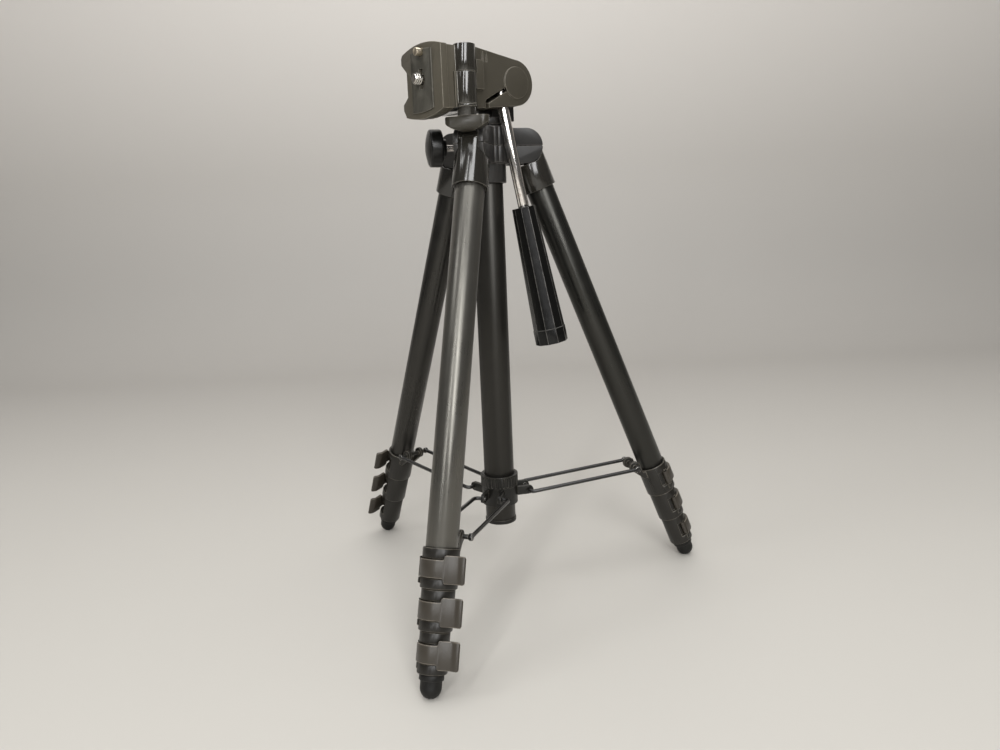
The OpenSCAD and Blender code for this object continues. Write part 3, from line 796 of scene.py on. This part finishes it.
def ribbed_ring(
    name: str, count: int, radius: float, rib: float, height: float, material: bpy.types.Material
) -> bpy.types.Mesh:
    """Round ribs about the z axis, as on the rim of a knob.

    Args:
        name: Name of the mesh.
        count: Number of ribs.
        radius: Distance of each rib's axis.
        rib: Radius of a rib.
        height: Length of a rib.
        material: Its material.

    Returns:
        The ribs, centred on the origin.
    """
    sizes = {"Count": count, "Radius": radius, "Rib": rib, "Height": height}
    grower = Grower(name, sizes)
    inputs = {"Vertices": grower.size("Count"), "Radius": grower.size("Radius")}
    points = grower.node("GeometryNodeMeshCircle", {}, inputs)
    inputs = {"Vertices": RIB_SIDES, "Radius": grower.size("Rib"), "Depth": grower.size("Height")}
    bar = grower.node("GeometryNodeMeshCylinder", {}, inputs)
    ribs = grower.node("GeometryNodeInstanceOnPoints", {}, {"Points": points, "Instance": bar})
    return grower.grow(ribs, material)


def ribbed_row(
    name: str,
    count: int,
    start: Vector,
    gap: Vector,
    rib: float,
    height: float,
    turn: Vector,
    material: bpy.types.Material,
    sides: int = RIB_SIDES,
) -> bpy.types.Mesh:
    """Round ribs or pins at even steps on a line.

    Args:
        name: Name of the mesh.
        count: Number of ribs.
        start: Centre of the first one.
        gap: Step from each to the next.
        rib: Radius of a rib.
        height: Length of a rib.
        turn: Rotation of each rib, whose axis is z before it.
        material: Its material.
        sides: Number of sides of a rib.

    Returns:
        The ribs.
    """
    sizes = {"Count": count, "Start": start, "Gap": gap, "Rib": rib, "Height": height, "Turn": turn}
    grower = Grower(name, {**sizes, "Sides": sides})
    inputs = {
        "Count": grower.size("Count"),
        "Start Location": grower.size("Start"),
        "Offset": grower.size("Gap"),
    }
    points = grower.node("GeometryNodeMeshLine", {}, inputs)
    inputs = {
        "Vertices": grower.size("Sides"),
        "Radius": grower.size("Rib"),
        "Depth": grower.size("Height"),
    }
    bar = grower.node("GeometryNodeMeshCylinder", {}, inputs)
    inputs = {"Points": points, "Instance": bar, "Rotation": grower.size("Turn")}
    return grower.grow(grower.node("GeometryNodeInstanceOnPoints", {}, inputs), material)


def outward(mesh: bpy.types.Mesh) -> bpy.types.Mesh:
    """Merges the doubles of a closed mesh and turns its faces outwards.

    Args:
        mesh: Mesh to change.

    Returns:
        The same mesh.
    """
    work = bmesh.new()
    work.from_mesh(mesh)
    bmesh.ops.remove_doubles(work, verts=work.verts, dist=DOUBLES_GAP)
    bmesh.ops.recalc_face_normals(work, faces=work.faces)
    work.to_mesh(mesh)
    work.free()
    return mesh


def turned(name: str, profile: Sequence[tuple[float, float]], sides: int = 64) -> bpy.types.Mesh:
    """A solid of revolution about the z axis.

    Args:
        name: Name of the mesh.
        profile: Radius and height of each point, from one pole to the other.
        sides: Number of sides.

    Returns:
        A closed mesh with smooth sides and sharp steps.
    """
    work = bmesh.new()
    rings = []
    for radius, height in profile:
        turns = range(1) if radius == 0 else range(sides)
        around = [2 * math.pi * turn / sides for turn in turns]
        ring = [(radius * math.cos(a), radius * math.sin(a), height) for a in around]
        rings.append([work.verts.new(point) for point in ring])
    for low, high in zip(rings, rings[1:]):
        for turn in range(sides):
            after = (turn + 1) % sides
            corners = [low[turn % len(low)], low[after % len(low)]]
            corners += [high[after % len(high)], high[turn % len(high)]]
            work.faces.new(list(dict.fromkeys(corners)))
    bmesh.ops.recalc_face_normals(work, faces=work.faces)
    return smooth_mesh(work, name)


def smooth_mesh(work: bmesh.types.BMesh, name: str) -> bpy.types.Mesh:
    """Ends a bmesh as a smooth mesh that stays sharp at its steps.

    Args:
        work: Bmesh, which is freed.
        name: Name of the mesh.

    Returns:
        The mesh.
    """
    for face in work.faces:
        face.smooth = True
    for rim in work.edges:
        rim.smooth = rim.calc_face_angle(0) < EDGE_ANGLE
    mesh = bpy.data.meshes.new(name)
    work.to_mesh(mesh)
    work.free()
    return mesh


def joined(name: str, meshes: Sequence[bpy.types.Mesh]) -> bpy.types.Mesh:
    """One mesh of several, with the materials that they have.

    Args:
        name: Name of the new mesh.
        meshes: Meshes to put together, which are removed.

    Returns:
        The mesh.
    """
    work = bmesh.new()
    materials = []
    for mesh in meshes:
        before = len(work.faces)
        work.from_mesh(mesh)
        work.faces.ensure_lookup_table()
        offset = len(materials)
        for face in work.faces[before:]:
            face.material_index += offset
        materials += list(mesh.materials)
    made = bpy.data.meshes.new(name)
    work.to_mesh(made)
    work.free()
    for material in materials:
        made.materials.append(material)
    for mesh in meshes:
        bpy.data.meshes.remove(mesh)
    return made


def set_along(origin: Vector, axis: Vector) -> Matrix:
    """Places what is built up the z axis at a point, along an axis."""
    return Matrix.Translation(origin) @ axis.to_track_quat("Z", "Y").to_matrix().to_4x4()


def joint(name: str) -> tuple[Vector, Vector]:
    """Pivot and axis of a joint of the record."""
    found = next(item for item in frame["joints"] if item["name"] == name)
    return Vector(found.get("pos_m", (0, 0, 0))), Vector(found["axis"])


def span(node: str, origin: Vector, axis: Vector) -> tuple[float, float]:
    """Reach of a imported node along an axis.

    Args:
        node: Name of the node.
        origin: Point that the reach is measured from.
        axis: Unit direction.

    Returns:
        The lowest and the highest distance.
    """
    reach = [(vertex.co - origin).dot(axis) for vertex in frame["nodes"][node].data.vertices]
    return min(reach), max(reach)


# ---------------------------------------------------------------- sub-assemblies


# Outer point, inner point and half height of a strip at one step of its path.
Station = tuple[Vector, Vector, float]

# Steps of a thumb plate in millimetres: distance along it, height of its outer and
# inner face over the clamp, and how far its long edges are drawn in.
THUMB_PLATE = (
    (1.6, 2.1, 0.3, 2.5),
    (2.5, 2.1, 0.3, 2.3),
    (2.95, 2.1, 0.3, 0.6),
    (3.6, 2.12, 0.3, 0),
    (5.5, 2.1, 0.3, 0),
    (7.5, 2.0, 0.3, 0),
    (9.0, 1.95, 0.3, 0),
    (9.9, 2.05, 0.35, 0),
    (10.7, 2.4, 0.6, 0),
    (11.5, 2.85, 0.95, 0),
    (12.4, 3.15, 1.35, 0),
    (13.1, 3.2, 1.65, 0.12),
    (13.55, 3.0, 1.9, 0.5),
    (13.78, 2.7, 2.2, 1.1),
)


def level(degrees: float) -> Vector:
    """Unit vector at an angle from the x axis, in the plane across the z axis."""
    turn = math.radians(degrees)
    return Vector((math.cos(turn), math.sin(turn), 0))


@dataclass
class Stand:
    """Hub, centre tube and end cap, which stay on the floor's body."""

    bench: Bench

    def build(self) -> None:
        """Dresses the parts of the stand."""
        self.bench.soften("hub_lower", HUB)
        self.bench.soften("hub_upper", HUB)
        self.bench.soften("leg_pins", STEEL)
        self.bench.soften("centre_tube", COLUMN)
        self.bench.soften("tube_end_cap", COLLAR)


class Side(Enum):
    """The three legs, each by its letter, its azimuth in degrees and its tubes' colour: one alloy, lighter on the
    front leg as painted light and darker on the others as painted shade.
    """

    # The tube colours are one alloy with painted light: the front leg's is lighter, the left and right legs' are
    # painted shade.
    FRONT = ("a", -90, (0.125, 0.120, 0.107))
    LEFT = ("b", 150, (0.045, 0.043, 0.039))
    RIGHT = ("c", 30, (0.040, 0.039, 0.035))

    def __init__(self, letter: str, azimuth: float, tube: Colour) -> None:
        """Names the values of a leg.

        Args:
            letter: Last letter of the names of its nodes.
            azimuth: Direction in which it points, in degrees from the x axis.
            tube: Colour of its upper tube: the alloy's own colour, made lighter as painted light on the front leg
                and darker as painted shade on the two others.
        """
        self.letter = letter
        self.azimuth = azimuth
        self.tube = tube


@dataclass
class Leg:
    """One leg: sleeve, four tubes, three clamps with their levers, and a foot."""

    bench: Bench
    side: Side
    lean: float = 21.7
    inner_tint: float = 0.9
    tube_edge: float = 0.12 * MM
    clamp_edge: float = 0.34 * MM
    clamp_top: float = 222.8 * MM
    clamp_len: float = 20.2 * MM
    clamp_pitch: float = 20.6 * MM
    clamp_r: float = 9.7 * MM
    clamp_step: float = 0.95 * MM
    tube_r: float = 8.4 * MM
    tube_step: float = 1.3 * MM
    hinge_angle: float = -62
    hinge_out: float = 2.0 * MM
    eye_r: float = 1.7 * MM
    eye_sides: int = 32
    band_out: float = 1.21 * MM
    tongue_steps: int = 20
    tongue_half: float = 4.5 * MM
    tongue_out: float = 0.9 * MM
    tongue_rise: float = 1.2 * MM
    tongue_corner: float = 0.42 * MM
    plate_turn: float = 15
    plate_in: float = 0.3 * MM
    plate_half: float = 7.0 * MM
    pin_in: float = 4.9 * MM
    pin_r: float = 0.8 * MM
    pin_head: float = 1.2 * MM
    pin_sides: int = 16

    def place(self) -> Matrix:
        """The leg's own frame: its axis down -z, outward along +x, pivot at the origin.

        Returns:
            The matrix from that frame to the row frame.
        """
        pivot, _ = joint(f"leg_{self.side.letter}_fold")
        turn = Matrix.Rotation(math.radians(self.side.azimuth), 4, "Z")
        tilt = Matrix.Rotation(math.radians(-self.lean), 4, "Y")
        return Matrix.Translation(pivot) @ turn @ tilt

    def build(self) -> None:
        """Dresses the parts of the leg."""
        axis = (self.place().to_3x3() @ UP).normalized()
        # The tube colour carries this leg's painted light or painted shade; the inner sections take a darker copy
        # of it, painted light included.
        letter, colour = self.side.letter, self.side.tube
        upper = Drawn(f"leg_alloy_{letter}", "leg_alloy", colour, axis)
        inner_tube_painted_light = tint(colour, self.inner_tint)
        inner = Drawn(f"section_alloy_{letter}", "section_alloy", inner_tube_painted_light, axis)
        self.bench.soften(f"sleeve_{letter}", SLEEVE)
        self.bench.soften(f"tube1_{letter}", upper)
        for number in (2, 3, 4):
            self.bench.soften(f"tube{number}_{letter}", inner, self.tube_edge)
        for number in (1, 2, 3):
            self.bench.soften(f"clamp{number}_{letter}", CLAMP, self.clamp_edge)
            self.lever(number)
            self.hinge_pins(number)
        self.bench.soften(f"foot_{letter}", FOOT)

    def middle(self, number: int) -> float:
        """Distance of the middle of a clamp from the pivot."""
        return self.clamp_top + (number - 1) * self.clamp_pitch + self.clamp_len / 2

    def hinge(self, number: int) -> Vector:
        """Axis of a lever's hinge, as a point in the plane across the leg."""
        reach = self.tube_r - number * self.tube_step + self.hinge_out
        return level(self.hinge_angle) * reach

    def lever(self, number: int) -> None:
        """Builds a flip lever: an eye, a tongue round the clamp and a curled thumb plate.

        Args:
            number: Number of the clamp from the top.
        """
        strip = ribbon(f"lever{number}", self.tongue(number) + self.plate(number), self.tongue_corner)
        tall = self.tongue_half
        profile = ((0, -tall), (self.eye_r, -tall), (self.eye_r, tall), (0, tall))
        eye = turned("eye", profile, self.eye_sides)
        eye.transform(Matrix.Translation(self.hinge(number)))
        node = f"lever{number}_{self.side.letter}"
        mesh = joined(node, (strip, eye))
        mesh.transform(self.place() @ Matrix.Translation(UP * -self.middle(number)))
        mesh.materials.append(self.bench.paint(LEVER))
        self.bench.keep(mesh, f"{node}_skin", self.bench.body_of(node), LEVER, (node,))

    def face(self, number: int) -> float:
        """Radius of a clamp's body, on which its lever lies."""
        return self.clamp_r - (number - 1) * self.clamp_step

    def tongue(self, number: int) -> list[Station]:
        """Steps of a lever's tongue, which thickens as it goes round the clamp.

        Args:
            number: Number of the clamp from the top.

        Returns:
            Its stations from the hinge to the thumb plate.
        """
        body = self.face(number)
        band = self.tube_r - number * self.tube_step + self.band_out
        stations = []
        for count in range(self.tongue_steps + 1):
            share = count / self.tongue_steps
            way = level(self.hinge_angle + (self.plate_turn - self.hinge_angle) * share)
            rise = share * share * (3 - 2 * share)
            outer = body + self.tongue_out + self.tongue_rise * rise
            inner = band + (body + self.plate_in - band) * max(0, share * 2 - 1) ** 2
            stations.append((way * outer, way * inner, self.tongue_half))
        return stations

    def plate(self, number: int) -> list[Station]:
        """Steps of a lever's thumb plate, which curls away from the clamp.

        Args:
            number: Number of the clamp from the top.

        Returns:
            Its stations from the tongue to the tip.
        """
        body = self.face(number)
        out = level(self.plate_turn)
        side = Vector((-out.y, out.x, 0))
        stations = []
        for along, outer, inner, drop in THUMB_PLATE:
            base = side * along * MM
            outside = base + out * (body + outer * MM)
            inside = base + out * (body + inner * MM)
            stations.append((outside, inside, self.plate_half - drop * MM))
        return stations

    def hinge_pins(self, number: int) -> None:
        """Sets the two heads of the steel pin that a lever turns on.

        Args:
            number: Number of the clamp from the top.
        """
        half = self.clamp_len / 2 - self.pin_in
        start = self.hinge(number) - UP * (self.middle(number) + half)
        mesh = ribbed_row(
            f"pins{number}",
            2,
            start,
            UP * 2 * half,
            self.pin_r,
            self.pin_head,
            Vector(),
            self.bench.paint(STEEL),
            self.pin_sides,
        )
        mesh.transform(self.place())
        body = self.bench.body_of(f"clamp{number}_{self.side.letter}")
        self.bench.keep(mesh, f"hinge_pins{number}_{self.side.letter}", body, STEEL)


MOST_ROUND = 0.8
CORNER_POINTS = 3


def ribbon(name: str, stations: Sequence[Station], corner: float) -> bpy.types.Mesh:
    """A solid strip along a path in the xy plane, with rounded edges.

    Args:
        name: Name of the mesh.
        stations: Outer point, inner point and half height at each step of the path.
        corner: Radius of its rounded edges.

    Returns:
        A closed mesh whose rounded faces carry the edge attribute.
    """
    work = bmesh.new()
    layer = work.loops.layers.float.new(EDGE_NAME)
    rings = []
    for outer, inner, half in stations:
        middle = (outer + inner) / 2
        way = (outer - inner).normalized()
        thick = (outer - inner).length / 2
        round_r = min(corner, thick * MOST_ROUND)
        ring = []
        for quarter in range(4):
            across = 1 if quarter in (0, 3) else -1
            up = 1 if quarter < 2 else -1
            centre = middle + way * across * (thick - round_r) + UP * up * (half - round_r)
            for part in range(CORNER_POINTS):
                turn = math.pi / 2 * (quarter + part / (CORNER_POINTS - 1))
                offset = way * math.cos(turn) + UP * math.sin(turn)
                ring.append(work.verts.new(centre + offset * round_r))
        rings.append(ring)
    count = len(rings[0])
    for near, far in zip(rings, rings[1:]):
        for index in range(count):
            after = (index + 1) % count
            face = work.faces.new((near[index], near[after], far[after], far[index]))
            for loop in face.loops:
                loop[layer] = 0.0 if index % CORNER_POINTS == CORNER_POINTS - 1 else 1.0
    work.faces.new(rings[0])
    work.faces.new(rings[-1])
    bmesh.ops.recalc_face_normals(work, faces=work.faces)
    return smooth_mesh(work, name)


@dataclass
class Spreader:
    """Sliding collar with the three wire braces."""

    bench: Bench
    collar_edge: float = 0.15 * MM
    wire_edge: float = 0.2 * MM
    wire_angle: float = math.radians(70)

    def build(self) -> None:
        """Dresses the collar and the braces."""
        self.bench.soften("brace_collar", COLLAR, self.collar_edge)
        for side in Side:
            self.bench.soften(f"brace_arm_{side.letter}", WIRE, self.wire_edge, self.wire_angle)


@dataclass
class Column:
    """Sliding inner column and its lock."""

    bench: Bench
    screw_r: float = 2.0 * MM
    screw_sides: int = 32
    pitch: float = 0.8 * MM
    thread_depth: float = 0.32 * MM
    thread_start: float = 17.8 * MM
    thread_end: float = 23.8 * MM

    def build(self) -> None:
        """Dresses the column and its lock."""
        self.bench.soften("inner_column", COLUMN)
        self.bench.soften("lock_knob", KNOB)
        self.lock_screw()

    def lock_screw(self) -> None:
        """Cuts the thread of the lock screw."""
        pivot, axis = joint("column_lock_turn")
        origin = UP * pivot.z
        start, end = span("lock_screw", origin, axis)
        core = self.screw_r - self.thread_depth
        profile = ((0, start), (core, start), (core, end), (0, end))
        shank = turned("lock_core", profile, self.screw_sides)
        paint = self.bench.paint(STEEL)
        shank.materials.append(paint)
        length = self.thread_end - self.thread_start
        ridge = thread("lock_thread", self.screw_r, self.pitch, length, paint)
        ridge.transform(Matrix.Translation(UP * self.thread_start))
        mesh = joined("lock_screw", (shank, ridge))
        mesh.transform(set_along(origin, axis))
        self.bench.keep(mesh, "lock_screw_skin", "column_lock", STEEL, ("lock_screw",))


BARREL_IN = 4.9 * MM
BARREL_OUT = 6.35 * MM


def on_barrel(point: Vector) -> bool:
    """Whether a point lies on the round of the platform's hinge barrel.

    Args:
        point: Point in the row frame.

    Returns:
        True between the barrel's inner and outer radius.
    """
    origin, _ = joint("platform_flip")
    reach = (point - origin).to_2d().length
    return BARREL_IN < reach < BARREL_OUT


@dataclass
class Head:
    """Pan base, tilt housing and the lock of the platform."""

    bench: Bench

    def build(self) -> None:
        """Dresses the head."""
        self.bench.soften("pan_base", PAN)
        self.bench.soften("tilt_axle", STEEL)
        self.bench.soften("pan_screw", SCREW)
        housing = self.bench.soften("tilt_housing", HEAD)
        self.bench.accent(housing, BARREL, on_barrel)
        knob = self.bench.soften("flip_knob", WING)
        self.bench.accent(knob, BARREL, on_barrel)


@dataclass
class Handle:
    """Pan handle: a bright rod in a grip."""

    bench: Bench

    def build(self) -> None:
        """Dresses the handle."""
        self.bench.soften("handle_rod", STEEL)
        self.bench.soften("handle_grip", GRIP)


@dataclass
class CameraPlatform:
    """Flip platform with its pad, camera screw and locating pin."""

    bench: Bench
    turn: float = -125
    wheel_r: float = 10.2 * MM
    wheel_t: float = 3.0 * MM
    wheel_round: float = 0.35 * MM
    knurls: int = 60
    knurl_r: float = 0.38 * MM
    knurl_in: float = 0.6 * MM
    neck_r: float = 2.4 * MM
    screw_r: float = 3.175 * MM
    pitch: float = 1.27 * MM
    thread_from: float = 8.0 * MM
    thread_in: float = 0.3 * MM
    tip: float = 0.5 * MM
    pad_low: Vector = Vector((43.6, -7.4, 292.83)) * MM
    pad_high: Vector = Vector((44.4, 13.0, 325.53)) * MM
    teeth: int = 56
    tooth_r: float = 0.2 * MM
    tooth_len: float = 0.7 * MM
    tooth_sunk: float = 0.1 * MM
    margin: float = 1.0 * MM

    def build(self) -> None:
        """Dresses the platform."""
        platform = self.bench.soften("platform", SLAB)
        self.bench.accent(platform, BARREL, on_barrel)
        self.bench.soften("platform_pad", PAD)
        self.pad_teeth()
        self.camera_screw()
        self.bench.soften("video_pin", BRASS)

    def pad_teeth(self) -> None:
        """Sets a row of fine teeth along both long edges of the pad."""
        paint = self.bench.paint(PAD)
        tall = self.pad_high.z - self.pad_low.z - 2 * self.margin
        gap = UP * tall / (self.teeth - 1)
        lie = Vector((0, math.pi / 2, 0))
        edges = {"near": self.pad_high.y - self.margin, "far": self.pad_low.y + self.margin}
        rows = []
        for edge, across in edges.items():
            start = Vector((self.pad_high.x - self.tooth_sunk, across, self.pad_low.z + self.margin))
            tooth = (self.tooth_r, self.tooth_len, lie)
            rows.append(ribbed_row(f"teeth_{edge}", self.teeth, start, gap, *tooth, paint))
        mesh = joined("pad_teeth", rows)
        mesh.transform(Matrix.Rotation(math.radians(self.turn), 4, "Z"))
        self.bench.keep(mesh, "pad_teeth", "platform", PAD)

    def camera_screw(self) -> None:
        """Cuts the camera screw: a knurled wheel, a neck and a threaded end."""
        origin, axis = joint("camera_screw_turn")
        start, end = span("camera_screw", origin, axis)
        wheel, neck, core = self.wheel_r, self.neck_r, self.screw_r - self.pitch * 0.5
        back = start + self.wheel_t
        thread_low = start + self.thread_from
        soft, tip = self.wheel_round, self.tip
        profile = (
            (0, start),
            (wheel - soft, start),
            (wheel, start + soft),
            (wheel, back - soft),
            (wheel - soft, back),
            (neck + soft, back),
            (neck, back + soft),
            (neck, thread_low),
            (core, thread_low),
            (core, end - tip),
            (core - tip, end),
            (0, end),
        )
        paint = self.bench.paint(SCREW)
        body = turned("screw_body", profile)
        body.materials.append(paint)
        length = end - thread_low - self.thread_in
        ridge = thread("screw_thread", self.screw_r, self.pitch, length, paint)
        ridge.transform(Matrix.Translation(UP * thread_low))
        tall = self.wheel_t - self.knurl_in
        knurl = ribbed_ring("wheel_knurl", self.knurls, wheel, self.knurl_r, tall, paint)
        knurl.transform(Matrix.Translation(UP * (start + self.wheel_t / 2)))
        mesh = joined("camera_screw", (body, ridge, knurl))
        mesh.transform(set_along(origin, axis))
        self.bench.keep(mesh, "camera_screw_skin", "screw", SCREW, ("camera_screw",))


# ---------------------------------------------------------------- studio


@dataclass(frozen=True)
class Lamp:
    """A flat soft lamp that faces the middle of the tripod."""

    name: str
    place: Vector
    width: float
    height: float
    glow: float
    aim: Vector = Vector((0, 0, 0.17))

    def hang(self) -> None:
        """Hangs the lamp, with the power that gives its glow over its area."""
        data = bpy.data.lights.new(self.name, "AREA")
        data.shape = "RECTANGLE"
        data.size = self.width
        data.size_y = self.height
        data.energy = math.pi * self.width * self.height * self.glow
        lamp = bpy.data.objects.new(self.name, data)
        bpy.context.scene.collection.objects.link(lamp)
        turn = (self.aim - self.place).to_track_quat("-Z", "Y").to_matrix().to_4x4()
        lamp.matrix_world = Matrix.Translation(self.place) @ turn


@dataclass
class Studio:
    """Camera, floor, backdrop and lights."""

    place: Vector = Vector((138.1, -446.1, 229.1)) * MM
    right: Vector = Vector((0.9587, 0.2817, -0.0401))
    up: Vector = Vector((-0.0162, 0.1947, 0.9807))
    forward: Vector = Vector((-0.2840, 0.9395, -0.1912))
    lens: float = 27.29
    sensor: float = 36
    clip_near: float = 0.01
    clip_far: float = 50
    floor_near: float = -4.0
    floor_far: float = 0.75
    floor_half: float = 4.0
    bend: float = 0.35
    bend_steps: int = 16
    wall_tall: float = 3.0
    room_colour: Colour = (1.0, 0.98, 0.95)
    room_glow: float = 0.11
    paper_rough: float = 0.55
    paper_cloud: float = 0.25
    paper_grain: float = 1.2 * MM
    paper_depth: float = 0.02 * MM
    floor_colour: Colour = (0.55, 0.53, 0.49)
    # One paper: the darker bend is painted shade and the paler top of the backdrop is painted light.
    bend_painted_shade: Colour = (0.47, 0.45, 0.42)
    wall_painted_light: Colour = (0.78, 0.745, 0.70)
    lamps: tuple[Lamp, ...] = (
        Lamp("key", Vector((0.60, -1.12, 0.80)), 0.5, 1.05, 8),
        Lamp("strip", Vector((-0.05, -1.38, 0.95)), 0.12, 1.4, 14),
        Lamp("side", Vector((-0.85, -0.72, 1.10)), 0.3, 0.35, 6),
        Lamp("top", Vector((0.0, -0.1, 1.9)), 1.7, 1.7, 2.6),
    )

    def build(self) -> None:
        """Sets up the whole studio."""
        self.camera()
        self.floor()
        self.lights()

    def camera(self) -> None:
        """Puts the camera in its place."""
        data = bpy.data.cameras.new("camera")
        data.lens = self.lens
        data.sensor_width = self.sensor
        data.clip_start = self.clip_near
        data.clip_end = self.clip_far
        camera = bpy.data.objects.new("camera", data)
        bpy.context.scene.collection.objects.link(camera)
        turn = Matrix((self.right, self.up, -self.forward)).transposed()
        camera.matrix_world = Matrix.Translation(self.place) @ turn.to_4x4()
        bpy.context.scene.camera = camera

    def ahead(self) -> Vector:
        """Level direction in which the camera looks."""
        return Vector((self.forward.x, self.forward.y, 0)).normalized()

    def floor(self) -> None:
        """Lays a pale floor that curves up into a backdrop."""
        work = bmesh.new()
        ahead = self.ahead()
        across = Vector((ahead.y, -ahead.x, 0)) * self.floor_half
        outline = [(self.floor_near, 0.0), (self.floor_far, 0.0)]
        for count in range(1, self.bend_steps + 1):
            turn = math.pi / 2 * count / self.bend_steps
            out = self.floor_far + self.bend * math.sin(turn)
            outline.append((out, self.bend * (1 - math.cos(turn))))
        outline.append((self.floor_far + self.bend, self.wall_tall))
        rows = []
        for out, height in outline:
            centre = ahead * out + UP * height
            rows.append([work.verts.new(centre - across), work.verts.new(centre + across)])
        for near, far in zip(rows, rows[1:]):
            work.faces.new((near[0], near[1], far[1], far[0]))
        mesh = bpy.data.meshes.new("floor")
        work.to_mesh(mesh)
        work.free()
        for face in mesh.polygons:
            face.use_smooth = True
        mesh.materials.append(self.paper())
        floor = bpy.data.objects.new("floor", mesh)
        bpy.context.scene.collection.objects.link(floor)

    def paper(self) -> bpy.types.Material:
        """Matt paper with painted shade where it bends and painted light higher up the backdrop.

        Returns:
            The material of the floor.
        """
        painter = Painter("paper")
        place = painter.place()
        run = painter.reach(place, self.ahead() + UP)
        cloud = painter.noise(place, self.paper_cloud, 2)
        low = painter.blend(tint(self.floor_colour, 0.98), tint(self.floor_colour, 1.02), cloud)
        # Painted shade along the bend of the paper.
        base = painter.blend(low, self.bend_painted_shade, painter.step(run, -0.15, 0.8))
        # Painted light up the backdrop.
        base = painter.blend(base, self.wall_painted_light, painter.step(run, 1.15, 1.95))
        relief = painter.bump(painter.noise(place, self.paper_grain, 2), self.paper_depth)
        return painter.finish(Base_Color=base, Roughness=self.paper_rough, Normal=relief)

    def lights(self) -> None:
        """Hangs the soft lamps and lights the room evenly."""
        for lamp in self.lamps:
            lamp.hang()
        world = bpy.data.worlds.new("room")
        world.use_nodes = True
        background = world.node_tree.nodes["Background"]
        background.inputs["Color"].default_value = (*self.room_colour, 1)
        background.inputs["Strength"].default_value = self.room_glow
        bpy.context.scene.world = world


def main() -> None:
    """Dresses each sub-assembly in order and sets up the studio."""
    logging.basicConfig(level=logging.INFO, format="%(message)s")
    bench = Bench()
    Stand(bench).build()
    for side in Side:
        Leg(bench, side).build()
    Spreader(bench).build()
    Column(bench).build()
    Head(bench).build()
    Handle(bench).build()
    CameraPlatform(bench).build()
    Studio().build()
    bpy.context.scene.view_settings.view_transform = "Standard"
    log.info("%d pieces", len(bench.made))


if __name__ == "__main__":
    main()
